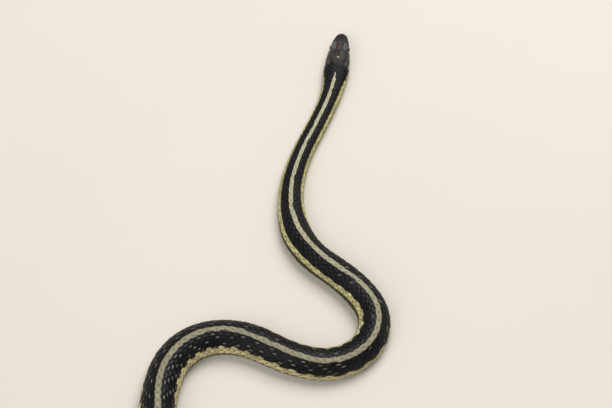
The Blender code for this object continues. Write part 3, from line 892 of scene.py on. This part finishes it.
def layout_mesh(name, layout):
    """Make one point for each scale, on the unrolled body, with its sizes as attributes."""
    around, length = layout["around"], layout["length"]
    ones = np.ones(len(around))
    mesh = mesh_from(name, np.stack([layout["front"] * MM, around, 0 * ones], -1), [])
    sizes = np.stack([length * MM, layout["half_width"], ones], -1)
    add_attribute(mesh, "size", sizes, "FLOAT_VECTOR")
    middle = layout["front"] + length / 2
    u, v = fold(middle, around)
    values = {
        "root_along": middle, "root_around": around, "root_u": u, "root_v": v,
        "tone": layout["tone"], "fleck": layout["fleck"], "count": scale_count(middle),
    }
    for key, column in values.items():
        add_attribute(mesh, key, column)
    return mesh


def scale_mesh(name, outline, slope, keel, across_count):
    """Make one closed scale of unit size, which lies along x from 0 to 1 and across y.

    The outline gives its half width by its length. It is sunk at the front by the slope and
    lies highest near its free rear edge. Each ring of it runs over its top and back below.
    """
    down, width = np.array(outline).T[:, :, None]
    top = np.linspace(-1, 1, across_count)
    level = slope[0] + (slope[1] - slope[0]) * smoothstep(-0.35, 1.0, down) ** 0.9
    bulge = SCALE_BULGE * (0.4 + 0.6 * down)
    ridge = keel * np.exp(-(top / KEEL_WIDTH) ** 2) * smoothstep(*KEEL_STARTS, down)
    under = level - bulge - SCALE_THICKNESS * (1 - SCALE_THINNING * down)
    height = np.concatenate([level - bulge * top ** 2 + ridge, under, under], axis=1)
    across = np.r_[top, 1, -1]
    points = np.stack(np.broadcast_arrays(down, across * width, height), -1)
    rings, count = points.shape[:2]
    faces = grid_faces(rings, count, count)
    faces += [tuple(range(count)), tuple(range(rings * count - 1, (rings - 1) * count - 1, -1))]
    mesh = mesh_from(name, points.reshape(-1, 3), faces)
    shape = bmesh.new()
    shape.from_mesh(mesh)
    bmesh.ops.triangulate(shape, faces=[face for face in shape.faces if len(face.verts) > 4])
    bmesh.ops.recalc_face_normals(shape, faces=shape.faces)
    shape.to_mesh(mesh)
    shape.free()
    add_attribute(mesh, "across", np.tile(across, rings))
    add_attribute(mesh, "down", np.repeat(down, count))
    return mesh


def guide_mesh():
    """Make the sheet that scales are laid on, which knows its place on the unrolled body."""
    alongs = np.linspace(GUIDE_START, GUIDE_END, GUIDE_RINGS)
    columns = np.linspace(*GUIDE_COLUMNS, GUIDE_FACETS)
    points = body_grid(alongs, np.tile(columns, (GUIDE_RINGS, 1)))
    faces = grid_faces(GUIDE_RINGS, GUIDE_FACETS, GUIDE_FACETS - 1)
    mesh = mesh_from("guide", points.reshape(-1, 3), faces)
    add_attribute(mesh, "outward", grid_normals(points, False), "FLOAT_VECTOR")
    u = np.repeat((alongs - alongs[0]) / (alongs[-1] - alongs[0]), GUIDE_FACETS)
    v = np.tile(np.linspace(0, 1, GUIDE_FACETS), GUIDE_RINGS)
    add_attribute(mesh, "unrolled", np.stack([u, v, 0 * u], -1), "FLOAT_VECTOR")
    return mesh


class Graph:
    """A node tree with short ways to add nodes and join them."""

    def __init__(self, tree):
        self.tree = tree

    def feed(self, socket, value):
        if isinstance(value, bpy.types.NodeSocket):
            self.tree.links.new(value, socket)
        else:
            socket.default_value = (*value, 1) if isinstance(value, Color) else value

    def add(self, kind, inputs=None, **settings):
        """Add a node, feed its inputs by name or number, and return its outputs."""
        node = self.tree.nodes.new(kind)
        for key, value in settings.items():
            setattr(node, key, value)
        for key, value in (inputs or {}).items():
            self.feed(node.inputs[key], value)
        return node.outputs

    def math(self, operation, *values):
        return self.add("ShaderNodeMath", dict(enumerate(values)), operation=operation)[0]

    def centred(self, value, width):
        """Spread a value from 0 to 1 over a width whose middle is at nothing."""
        return self.math("MULTIPLY_ADD", value, width, -width / 2)

    def step(self, low, high, value, start=0.0, end=1.0):
        """Go smoothly from start to end as the value goes from low to high."""
        inputs = dict(enumerate((value, low, high, start, end)))
        return self.add("ShaderNodeMapRange", inputs, interpolation_type="SMOOTHSTEP")[0]

    def edge(self, place, soft, value, start=0.0, end=1.0):
        """Go from start to end over a soft edge at a place."""
        low, high = (self.math(way, place, soft) for way in ("SUBTRACT", "ADD"))
        return self.step(low, high, value, start, end)

    def between(self, low, high, soft, value):
        """Be 1 between low and high, with soft edges."""
        fall = self.edge(high, soft, value, 1.0, 0.0)
        return self.math("MULTIPLY", self.edge(low, soft, value), fall)

    def blend(self, factor, first, second, kind="MIX"):
        inputs = {0: factor, 6: first, 7: second}
        return self.add("ShaderNodeMix", inputs, data_type="RGBA", blend_type=kind)[2]

    def layers(self, colour, *layers):
        """Lay colours over a first one, each as far as its factor says."""
        for factor, layer in layers:
            colour = self.blend(factor, colour, layer)
        return colour

    def attribute(self, name):
        return self.add("ShaderNodeAttribute", attribute_name=name)["Fac"]

    def noise(self, scale, detail=2.0):
        """Add noise, whose scale may also be the name of its pattern."""
        place = self.add("ShaderNodeTexCoord")["Object"]
        inputs = {"Vector": place, "Scale": NOISE.get(scale, scale), "Detail": detail}
        return self.add("ShaderNodeTexNoise", inputs)["Fac"]


def new_group(name, kind, inputs, outputs):
    """Make a node group with these sockets and return its graph and the two end nodes."""
    tree = bpy.data.node_groups.new(name, kind)
    for way, sockets in (("INPUT", inputs), ("OUTPUT", outputs)):
        for socket, value in sockets.items():
            tree.interface.new_socket(name=socket, in_out=way, socket_type="NodeSocket" + value)
    graph = Graph(tree)
    return graph, graph.add("NodeGroupInput"), tree.nodes.new("NodeGroupOutput").inputs


def laying_tree():
    """Build the geometry nodes that lay copies of one scale on the body.

    Each copy is set on the unrolled body first, is stretched to its size there, and is then
    carried over to the body with its height kept.
    """
    graph, given, result = new_group(
        "lay scales", "GeometryNodeTree",
        {
            "Places": "Geometry", "Scale": "Object", "Guide": "Object", "Finish": "Material",
            "Patch": "Float",
        },
        {"Scales": "Geometry"},
    )

    def named(name, kind="FLOAT"):
        return graph.add("GeometryNodeInputNamedAttribute", {"Name": name}, data_type=kind)[0]

    def store(geometry, name, value, kind="FLOAT", domain="POINT"):
        inputs = {"Geometry": geometry, "Name": name, "Value": value}
        return graph.add("GeometryNodeStoreNamedAttribute", inputs, data_type=kind, domain=domain)[0]

    def share_of_guide(value, start, end):
        share = graph.math("DIVIDE", graph.math("SUBTRACT", value, start), end - start)
        return graph.math("MINIMUM", graph.math("MAXIMUM", share, GUIDE_MARGIN), 1 - GUIDE_MARGIN)

    scale = graph.add("GeometryNodeObjectInfo", {"Object": given["Scale"]})
    copies = graph.add("GeometryNodeInstanceOnPoints", {
        "Points": given["Places"], "Instance": scale["Geometry"],
        "Scale": named("size", "FLOAT_VECTOR"),
    })
    real = graph.add("GeometryNodeRealizeInstances", {"Geometry": copies[0]})
    position = graph.add("GeometryNodeInputPosition")[0]
    along, around, height = graph.add("ShaderNodeSeparateXYZ", {0: position})
    geometry = store(real[0], "along", graph.math("DIVIDE", along, MM))
    geometry = store(geometry, "around", around)

    half_patch = graph.math("MULTIPLY", given["Patch"], 0.5)
    middle = graph.math("SUBTRACT", named("down"), 0.5)
    patch = graph.add("ShaderNodeCombineXYZ", {
        0: graph.math("MULTIPLY_ADD", named("across"), half_patch, named("root_u")),
        1: graph.math("MULTIPLY_ADD", middle, given["Patch"], named("root_v")),
    })
    geometry = store(geometry, "OFBake", patch[0], "FLOAT2", "CORNER")

    guide = graph.add("GeometryNodeObjectInfo", {"Object": given["Guide"]})
    spot = graph.add("ShaderNodeCombineXYZ", {
        0: share_of_guide(along, GUIDE_START, GUIDE_END), 1: share_of_guide(around, *GUIDE_COLUMNS),
    })

    def sampled(value):
        inputs = {
            "Mesh": guide["Geometry"], "Value": value, "UV Map": named("unrolled", "FLOAT_VECTOR"),
            "Sample UV": spot[0],
        }
        return graph.add("GeometryNodeSampleUVSurface", inputs, data_type="FLOAT_VECTOR")[0]

    inputs = {0: sampled(named("outward", "FLOAT_VECTOR")), "Scale": height}
    lift = graph.add("ShaderNodeVectorMath", inputs, operation="SCALE")
    inputs = {"Geometry": geometry, "Position": sampled(position), "Offset": lift[0]}
    move = graph.add("GeometryNodeSetPosition", inputs)
    inputs = {"Geometry": move[0], "Material": given["Finish"]}
    graph.feed(result["Scales"], graph.add("GeometryNodeSetMaterial", inputs)[0])
    return graph.tree


def lay_on_body(name, layouts, material):
    """Lay copies of a scale at the places of each layout, and join them as one plain mesh."""
    tree = shared_group("lay scales", laying_tree)
    guide = link("guide", guide_mesh())
    meshes = []
    for layout, scale in layouts:
        carrier = link("places", layout_mesh("places", layout))
        prototype = link("scale", scale.copy())
        modifier = carrier.modifiers.new("lay scales", "NODES")
        modifier.node_group = tree
        given = {"Scale": prototype, "Guide": guide, "Finish": material, "Patch": PATCH}
        for socket in tree.interface.items_tree:
            if socket.in_out == "INPUT" and socket.name in given:
                modifier[socket.identifier] = given[socket.name]
        view = bpy.context.evaluated_depsgraph_get()
        meshes.append(bpy.data.meshes.new_from_object(carrier.evaluated_get(view)))
        for helper in (carrier, prototype):
            bpy.data.objects.remove(helper, do_unlink=True)
    bpy.data.objects.remove(guide, do_unlink=True)
    if any(len(mesh.polygons) == 0 for mesh in meshes):
        raise RuntimeError(f"{name} came out empty")
    thing, *others = [link(name, mesh) for mesh in meshes]
    if others:
        chosen = {"active_object": thing, "selected_editable_objects": [thing, *others]}
        with bpy.context.temp_override(**chosen):
            bpy.ops.object.join()
    thing.name = thing.data.name = name
    return thing


def markings_group(colours):
    """Build the pattern that the skin and the scales share.

    It reads the distance from the snout in millimetres, the column, and the count of scales
    from the head. It adds painted bounce light on the lower part of the side stripes, and the row
    beside the belly is partly painted shade.
    """
    graph, given, result = new_group(
        "snake markings", "ShaderNodeTree",
        {"Along": "Float", "Around": "Float", "Count": "Float", "Tone": "Float"},
        {"Color": "Color", "Pale": "Float", "Side": "Float"},
    )

    def change(low, high, before=0.0, after=1.0):
        return graph.step(low, high, given["Along"], before, after)

    wobble = graph.centred(graph.noise("stripes"), STRIPE_WOBBLE)
    around = graph.math("ADD", graph.math("ABSOLUTE", given["Around"]), wobble)
    fill = graph.step(0.35, 0.7, graph.noise("ground", 3.0))
    ground = graph.blend(fill, colours.ground, colours.ground_light)
    turn = graph.math("FRACT", graph.math("MULTIPLY", given["Count"], 0.5))
    tooth = graph.math("ABSOLUTE", graph.centred(turn, 2.0))

    hand = graph.math("SIGN", given["Around"])
    place = graph.math("MULTIPLY_ADD", hand, 500.0, graph.math("FLOOR", given["Count"]))
    chance = graph.add("ShaderNodeTexWhiteNoise", {"W": place}, noise_dimensions="1D")["Value"]
    notch = graph.math("GREATER_THAN", chance, NOTCH_ABOVE)
    half = graph.math("MULTIPLY", change(*BACK_STRIPE_HALF), change(*BACK_STRIPE_ON_TAIL))
    half = graph.math("MULTIPLY_ADD", notch, -NOTCH_DEPTH, half)
    half = graph.math("ADD", half, graph.centred(graph.noise("edges"), STRIPE_RAGGED))
    back = graph.edge(half, 0.007, around, 1.0, 0.0)
    back = graph.math("MULTIPLY", back, change(*BACK_STRIPE_STARTS))
    back_colour = graph.blend(
        change(*BACK_STRIPE_FADES), colours.back_stripe_front, colours.back_stripe
    )

    upper = change(*SIDE_STRIPE_UPPER[0])
    for more in SIDE_STRIPE_UPPER[1:]:
        upper = graph.math("ADD", upper, change(*more))
    teeth = graph.math("SUBTRACT", graph.step(0.25, 0.75, tooth), 0.5)
    upper = graph.math("MULTIPLY_ADD", teeth, change(*SIDE_STRIPE_TEETH), upper)
    lower = change(*SIDE_STRIPE_LOWER)
    side = graph.between(upper, lower, 0.009, around)
    side = graph.math("MULTIPLY", side, change(*SIDE_STRIPE_STARTS))
    side_colour = graph.blend(
        change(*SIDE_STRIPE_FADES), colours.side_stripe_front, colours.side_stripe
    )
    # Painted bounce light: the lower part of the side stripes is blended toward a lighter colour.
    bounce_light = graph.step(0.36, 0.48, around, 0.0, 0.55)
    bounce_light = graph.math("MULTIPLY", bounce_light, change(*SIDE_STRIPE_BOUNCE_LIGHT))
    side_colour = graph.blend(bounce_light, side_colour, colours.side_stripe_low)

    # The row beside the belly: partly its own dark olive and partly painted shade under the flank.
    low = graph.between(lower, 0.624, 0.008, around)
    low_and_shade_colour = graph.blend(
        change(*LOWER_ROW_DARKENS), colours.lower_row_front, colours.lower_row
    )
    belly = graph.step(*BELLY_STARTS, around)
    belly_colour = graph.blend(graph.step(0.65, 0.95, around), colours.belly_edge, colours.belly)
    spot = graph.between(*BELLY_SPOTS, 0.02, around)
    spot = graph.math("MULTIPLY", spot, graph.step(0.55, 0.8, tooth))
    colour = graph.layers(
        ground, (low, low_and_shade_colour), (side, side_colour), (back, back_colour),
        (belly, belly_colour), (spot, colours.ground),
    )
    spread = graph.math("MULTIPLY_ADD", side, 0.3, 0.2)
    off_middle = graph.math("SUBTRACT", given["Tone"], 0.5)
    lightness = graph.math("MULTIPLY_ADD", off_middle, spread, 1.0)
    tint = graph.add("ShaderNodeCombineColor", dict.fromkeys(range(3), lightness))[0]
    graph.feed(result["Color"], graph.blend(1.0, colour, tint, "MULTIPLY"))
    pale = graph.math("MAXIMUM", graph.math("MAXIMUM", back, side), belly)
    graph.feed(result["Pale"], pale)
    graph.feed(result["Side"], side)
    return graph.tree


def grain_group():
    """Build the fine grain that breaks up the gloss of skin and scales."""
    graph, given, result = new_group(
        "scale grain", "ShaderNodeTree",
        {"Size": "Float", "Roughness": "Float"}, {"Height": "Float", "Roughness": "Float"},
    )
    grain = graph.noise(given["Size"], 3.0)
    graph.feed(result["Height"], grain)
    wear = graph.centred(grain, GLOSS_WEAR)
    graph.feed(result["Roughness"], graph.math("ADD", given["Roughness"], wear))
    return graph.tree


def shared_group(name, build, *given):
    return bpy.data.node_groups.get(name) or build(*given)


def new_material(name, roughness, specular, coat=0.0):
    """Make a material and return it with its graph and its shader."""
    material = bpy.data.materials.new(name)
    material.use_nodes = True
    shader = material.node_tree.nodes["Principled BSDF"]
    values = {"Roughness": roughness, "Specular IOR Level": specular, "Coat Weight": coat}
    for key, value in values.items():
        shader.inputs[key].default_value = value
    return material, Graph(material.node_tree), shader


def add_markings(graph, colours, along, tone):
    """Add the shared pattern. The name of the attribute with the distance is given as along."""
    inputs = {"Along": graph.attribute(along), "Around": graph.attribute("around")}
    inputs.update(Count=graph.attribute("count"), Tone=tone)
    tree = shared_group("snake markings", markings_group, colours)
    return graph.add("ShaderNodeGroup", inputs, node_tree=tree)


def add_grain(graph, size, roughness):
    inputs = {"Size": size, "Roughness": roughness}
    return graph.add("ShaderNodeGroup", inputs, node_tree=shared_group("scale grain", grain_group))


def finish_shader(graph, shader, colour, roughness, height, depth):
    """Give a shader its colour, its roughness and its bumps, which are this deep."""
    bump = graph.add("ShaderNodeBump", {"Distance": depth, "Strength": 1.0, "Height": height})
    for name, value in (("Base Color", colour), ("Roughness", roughness), ("Normal", bump[0])):
        graph.feed(shader.inputs[name], value)


def skin_material(colours):
    """Make the finish of the skin: head shields in front, the shared markings behind."""
    # The head's colours carry painted sheen: on the temples, partly on the brows and in the paler
    # mottling.
    material, graph, shader = new_material("snake skin", SKIN_ROUGHNESS, 0.13)
    marks = add_markings(graph, colours, "along", 0.3)
    body = graph.blend(0.55, marks["Color"], colours.ground)

    along, tint = graph.attribute("along"), graph.attribute("tint")
    # Paler mottling of the shields, partly their own tone and partly painted sheen.
    mottle_and_sheen = graph.step(0.36, 0.62, graph.noise("head", 4.0))
    patches = graph.step(0.42, 0.6, graph.noise("brow", 1.0))
    suture = graph.step(0.02, 0.14, graph.attribute("depth"), 1.0, 0.0)
    suture_share = graph.math("MULTIPLY_ADD", graph.attribute("chin"), -0.5, 0.72)
    shields = graph.layers(
        graph.blend(mottle_and_sheen, colours.head, colours.head_light),
        (graph.math("MULTIPLY", graph.attribute("tone"), 0.35), colours.ground),
        (graph.step(*SNOUT_ENDS, along, 0.75, 0.0), colours.snout),
        # The brows: pale grey and blue-grey patches, partly their own colour and partly painted
        # sheen.
        (graph.step(0.0, 1.0, tint, 0.0, 0.8), graph.blend(patches, colours.brow, colours.brow_blue)),
        (graph.step(0.0, -1.0, tint, 0.0, 0.7), colours.head_brown),
        (graph.step(*NAPE_DARKENS, along, 0.0, 0.8), colours.ground_light),
        # Painted sheen: the shields of the temples are lightened with light streaks.
        (
            graph.math("MULTIPLY", graph.attribute("flank"), 0.8),
            graph.blend(graph.noise("temple"), colours.temple, colours.head_light),
        ),
        (graph.attribute("pale"), graph.blend(graph.noise("lips"), colours.lips, colours.lips_dark)),
        (graph.math("MULTIPLY", suture, suture_share), colours.suture),
        (graph.attribute("dot"), colours.crown_dot),
        (graph.attribute("groove"), colours.suture),
    )
    colour = graph.blend(graph.attribute("head"), body, shields)
    grain = add_grain(graph, SKIN_GRAIN, SKIN_ROUGHNESS)
    finish_shader(graph, shader, colour, grain["Roughness"], grain["Height"], 0.02 * MM)
    return material


def scale_material(name, colours, roughness):
    """Make the finish of scales: the shared markings, pale flecks and fine lines along them."""
    material, graph, shader = new_material(name, roughness, 0.2)
    marks = add_markings(graph, colours, "root_along", graph.attribute("tone"))
    across, down = graph.attribute("across"), graph.attribute("down")
    dash = graph.between(*DASH_DOWN, 0.05, down)
    dash = graph.math("MULTIPLY", dash, graph.between(*DASH_ACROSS, 0.08, across))
    dash = graph.math("MULTIPLY", dash, graph.attribute("fleck"))
    sides = graph.step(0.8, 1.0, graph.math("ABSOLUTE", across))
    rim = graph.math("MAXIMUM", graph.step(0.86, 1.0, down), sides)
    shade = graph.math("MULTIPLY_ADD", marks["Side"], 0.5, 0.45)
    rim = graph.math("MULTIPLY", rim, shade)
    colour = graph.layers(marks["Color"], (dash, colours.fleck), (rim, colours.suture))
    grain = add_grain(graph, SCALE_GRAIN, roughness)
    dull = graph.math("MULTIPLY_ADD", marks["Pale"], 0.1, grain["Roughness"])
    lines = graph.math("SINE", graph.math("MULTIPLY", across, SCALE_LINES))
    height = graph.math("MULTIPLY_ADD", lines, 0.15, grain["Height"])
    finish_shader(graph, shader, colour, dull, height, 0.015 * MM)
    return material


def eye_material(colours):
    """Make the finish of an eye: a round pupil with a thin bright ring, under a clear cover."""
    material, graph, shader = new_material("snake eye", 0.08, 0.1, coat=0.7)
    shader.inputs["Coat Roughness"].default_value = 0.02
    off = graph.attribute("off_axis")
    iris = graph.blend(graph.noise("iris", 3.0), colours.iris, colours.iris_dark)
    ring = graph.step(PUPIL_RADIUS / MM + 0.05, PUPIL_RADIUS / MM + 0.22, off)
    pupil = graph.step(PUPIL_RADIUS / MM - 0.03, PUPIL_RADIUS / MM + 0.03, off, 1.0, 0.0)
    colour = graph.layers(colours.iris_bright, (ring, iris), (pupil, colours.pupil))
    graph.feed(shader.inputs["Base Color"], colour)
    return material


def eye_mesh(name, hand):
    """Make a ball whose pole looks out of the head."""
    centre, outward = eye_axes(hand)
    turn = Vector(outward).to_track_quat("Z", "Y").to_matrix()
    shape = bmesh.new()
    bmesh.ops.create_uvsphere(shape, u_segments=64, v_segments=40, radius=EYE_RADIUS)
    off_axis = []
    for corner in shape.verts:
        in_front = corner.co.z > 0
        off_axis.append((np.hypot(corner.co.x, corner.co.y) if in_front else EYE_RADIUS) / MM)
        corner.co = Vector(centre) + turn @ corner.co
    mesh = bpy.data.meshes.new(name)
    shape.to_mesh(mesh)
    shape.free()
    add_attribute(mesh, "off_axis", off_axis)
    return mesh


def srgb(red, green, blue):
    """Turn a colour of 0 to 255 as seen on a screen into the light that it stands for."""
    return tuple((part / 255) ** 2.2 for part in (red, green, blue))


# The sizes that can be set: what each one is, its unit, its default and its two limits.
SIZES = {
    "mouth_width": ("Half width of the mouth's line in millimetres", "NONE", 0.13, 0.05, 0.5),
    "mouth_depth": ("How deep the line of the mouth is", "LENGTH", 0.45 * MM, 0, 2 * MM),
    "lip_swell": ("How far the lips swell beside the mouth", "LENGTH", 0.10 * MM, 0, 1 * MM),
    "eye_opening": ("Radius of the rim round each eye", "LENGTH", 1.5 * MM, 0, 1.8 * MM),
    "eye_rim_rise": ("How far the rim stands off the eye", "LENGTH", 0.10 * MM, 0, 1 * MM),
    "scale_length": ("Length of a scale as a share of the rows' pitch", "NONE", 1.5, 1.0, 2.0),
    "scale_width": ("Width of a scale as a share of its row", "NONE", 1.8, 1.0, 2.2),
    "keel": ("Height of the ridge along each scale of the back", "LENGTH", 0.10 * MM, 0, 1 * MM),
}

# The colours that can be set, as red, green and blue of 0 to 255 on a screen.
COLOURS = {
    "ground": ("The dark between the stripes", 14, 13, 16),
    "ground_light": ("The paler parts of the dark", 28, 26, 25),
    "back_stripe": ("The stripe on the back", 144, 138, 113),
    "back_stripe_front": ("The stripe on the back behind the head", 184, 178, 146),
    "side_stripe": ("The stripes on the sides", 182, 171, 124),
    "side_stripe_front": ("The stripes on the sides behind the head", 200, 192, 134),
    # A lighter colour, painted bounce light on the lower part of the side stripes.
    "side_stripe_low": ("The lower edge of the stripes on the sides", 222, 202, 154),
    # Partly the row's own dark olive and partly painted shade under the flank.
    "lower_row": ("The row of scales beside the belly", 62, 54, 34),
    "lower_row_front": ("The same row at the neck", 150, 134, 82),
    "belly": ("The middle of the belly", 168, 176, 140),
    "belly_edge": ("The ends of the belly scutes", 150, 152, 104),
    "fleck": ("The dashes between the stripes", 126, 123, 110),
    "head": ("The shields of the head", 46, 42, 41),
    # Partly the shields' own paler tone and partly painted sheen.
    "head_light": ("The paler parts of the shields", 74, 70, 68),
    "head_brown": ("The middle shield of the crown", 74, 64, 60),
    # A pale grey that stands for painted sheen on the shields behind the eyes.
    "temple": ("The shields behind the eyes", 84, 78, 78),
    "snout": ("The front of the head", 42, 48, 46),
    # Partly the brows' own colour and partly painted sheen.
    "brow": ("The shields over the eyes", 106, 100, 91),
    "brow_blue": ("The bluer parts of those shields", 76, 86, 92),
    "crown_dot": ("The pair of dots on the crown", 204, 200, 166),
    "lips": ("The shields of the lips", 184, 180, 138),
    "lips_dark": ("The darker parts of the lips", 152, 150, 112),
    "suture": ("The lines between shields", 10, 10, 12),
    "iris": ("The iris of the eye", 54, 40, 28),
    "iris_dark": ("The dark streaks of the iris", 26, 20, 16),
    "iris_bright": ("The ring round the pupil", 150, 100, 56),
    "pupil": ("The pupil of the eye", 4, 4, 5),
    "floor": ("The floor under the animal", 226, 219, 208),
}


class SnakeSizes(bpy.types.PropertyGroup):
    """Sizes of the head's fine forms and of the scales."""

    __annotations__ = {
        key: bpy.props.FloatProperty(
            name=key.replace("_", " ").title(), description=about, unit=unit, default=default,
            min=low, max=high, precision=5,
        )
        for key, (about, unit, default, low, high) in SIZES.items()
    }


class SnakeColours(bpy.types.PropertyGroup):
    """Colours of the animal."""

    __annotations__ = {
        key: bpy.props.FloatVectorProperty(
            name=key.replace("_", " ").title(), description=about, default=srgb(*levels),
            subtype="COLOR", size=3, min=0, max=1,
        )
        for key, (about, *levels) in COLOURS.items()
    }


class GARTERSNAKE_OT_skin(bpy.types.Operator):
    """Make the one skin of the animal, with the shields of its head"""

    bl_idname = "garter_snake.skin"
    bl_label = "Make Skin"

    def execute(self, context):
        scene = context.scene
        thing = link("skin", make_skin(scene.snake_sizes))
        flesh = [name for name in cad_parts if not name.startswith("eye")]
        finish_piece(thing, skin_material(scene.snake_colours), flesh)
        return {"FINISHED"}


class GARTERSNAKE_OT_eyes(bpy.types.Operator):
    """Make the two eyes"""

    bl_idname = "garter_snake.eyes"
    bl_label = "Make Eyes"

    def execute(self, context):
        material = eye_material(context.scene.snake_colours)
        for node, hand in (("eye_left", 1), ("eye_right", -1)):
            name = node + "_ball"
            finish_piece(link(name, eye_mesh(name, hand)), material, (node,))
        return {"FINISHED"}


class GARTERSNAKE_OT_back_scales(bpy.types.Operator):
    """Lay the keeled scales on the back and sides"""

    bl_idname = "garter_snake.back_scales"
    bl_label = "Lay Back Scales"

    def execute(self, context):
        sizes = context.scene.snake_sizes
        material = scale_material("back scales", context.scene.snake_colours, SCALE_ROUGHNESS)
        prototype = scale_mesh("scale", SCALE_OUTLINE, SCALE_SLOPE, sizes.keel, 7)
        layout = back_layout(sizes)
        lengths = np.searchsorted(SCALE_CUTS, layout["front"])
        for index in range(len(SCALE_CUTS) + 1):
            part = {key: column[lengths == index] for key, column in layout.items()}
            thing = lay_on_body(f"back_scales_{index + 1}", [(part, prototype)], material)
            finish_piece(thing, material)
        return {"FINISHED"}


class GARTERSNAKE_OT_belly_scutes(bpy.types.Operator):
    """Lay the scutes of the belly and tail and the small scales of the throat"""

    bl_idname = "garter_snake.belly_scutes"
    bl_label = "Lay Belly Scutes"

    def execute(self, context):
        material = scale_material("belly scutes", context.scene.snake_colours, SCUTE_ROUGHNESS)
        wide = scale_mesh("scute", SCUTE_OUTLINE, SCUTE_SLOPE, 0.0, 19)
        small = scale_mesh("scale", SCALE_OUTLINE, SCUTE_SLOPE, 0.0, 5)
        layouts = [(belly_layout(), wide), (throat_layout(), small)]
        finish_piece(lay_on_body("belly_scutes", layouts, material), material)
        return {"FINISHED"}


class GARTERSNAKE_OT_stage(bpy.types.Operator):
    """Set up the floor, the light and the camera"""

    bl_idname = "garter_snake.stage"
    bl_label = "Set Up Stage"

    def execute(self, context):
        context.scene.view_settings.view_transform = "Standard"
        make_floor(context.scene.snake_colours.floor)
        make_lights()
        make_camera()
        return {"FINISHED"}


class GARTERSNAKE_PT_panel(bpy.types.Panel):
    """List what can be made"""

    bl_label = "Garter Snake"
    bl_idname = "GARTERSNAKE_PT_panel"
    bl_space_type = "VIEW_3D"
    bl_region_type = "UI"
    bl_category = "Garter Snake"

    def draw(self, context):
        for operator in OPERATORS:
            self.layout.operator(operator.bl_idname)
        for group in (context.scene.snake_sizes, context.scene.snake_colours):
            box = self.layout.box()
            for key in group.bl_rna.properties.keys():
                if key not in ("rna_type", "name"):
                    box.prop(group, key)


def make_floor(colour):
    corners = [(x, y, 0) for x, y in ((-1, -1), (1, -1), (1, 1), (-1, 1))]
    mesh = mesh_from("floor", np.array(corners) * FLOOR_REACH, [(0, 1, 2, 3)])
    floor = link("floor", mesh)
    material, graph, shader = new_material("floor", 0.8, 0.2)
    shade = graph.blend(graph.noise("floor", 3.0), colour, colour * 0.93)
    graph.feed(shader.inputs["Base Color"], shade)
    mesh.materials.append(material)


def make_lights():
    world = bpy.data.worlds.new("soft room")
    world.use_nodes = True
    background = world.node_tree.nodes["Background"]
    background.inputs["Color"].default_value = (*srgb(240, 240, 240), 1)
    background.inputs["Strength"].default_value = WORLD_LIGHT
    bpy.context.scene.world = world
    for name, place, aim, size, power in LIGHTS:
        lamp = bpy.data.lights.new(name, "AREA")
        lamp.energy = power
        lamp.size = size
        thing = link(name, lamp)
        thing.location = place
        direction = Vector(aim) - Vector(place)
        thing.rotation_euler = direction.to_track_quat("-Z", "Y").to_euler()


def make_camera():
    camera = bpy.data.cameras.new("camera")
    camera.sensor_width = 36
    camera.lens = CAMERA_LENS
    thing = link("camera", camera)
    thing.location = CAMERA_PLACE
    thing.rotation_euler = (CAMERA_TILT, 0, 0)
    bpy.context.scene.camera = thing


OPERATORS = (
    GARTERSNAKE_OT_skin,
    GARTERSNAKE_OT_eyes,
    GARTERSNAKE_OT_back_scales,
    GARTERSNAKE_OT_belly_scutes,
    GARTERSNAKE_OT_stage,
)
CLASSES = (SnakeSizes, SnakeColours, *OPERATORS, GARTERSNAKE_PT_panel)


def register():
    for kind in CLASSES:
        bpy.utils.register_class(kind)
    bpy.types.Scene.snake_sizes = bpy.props.PointerProperty(type=SnakeSizes)
    bpy.types.Scene.snake_colours = bpy.props.PointerProperty(type=SnakeColours)


def unregister():
    del bpy.types.Scene.snake_sizes
    del bpy.types.Scene.snake_colours
    for kind in reversed(CLASSES):
        bpy.utils.unregister_class(kind)


def main():
    register()
    bpy.ops.garter_snake.skin()
    bpy.ops.garter_snake.eyes()
    bpy.ops.garter_snake.back_scales()
    bpy.ops.garter_snake.belly_scutes()
    bpy.ops.garter_snake.stage()


if __name__ == "__main__":
    main()
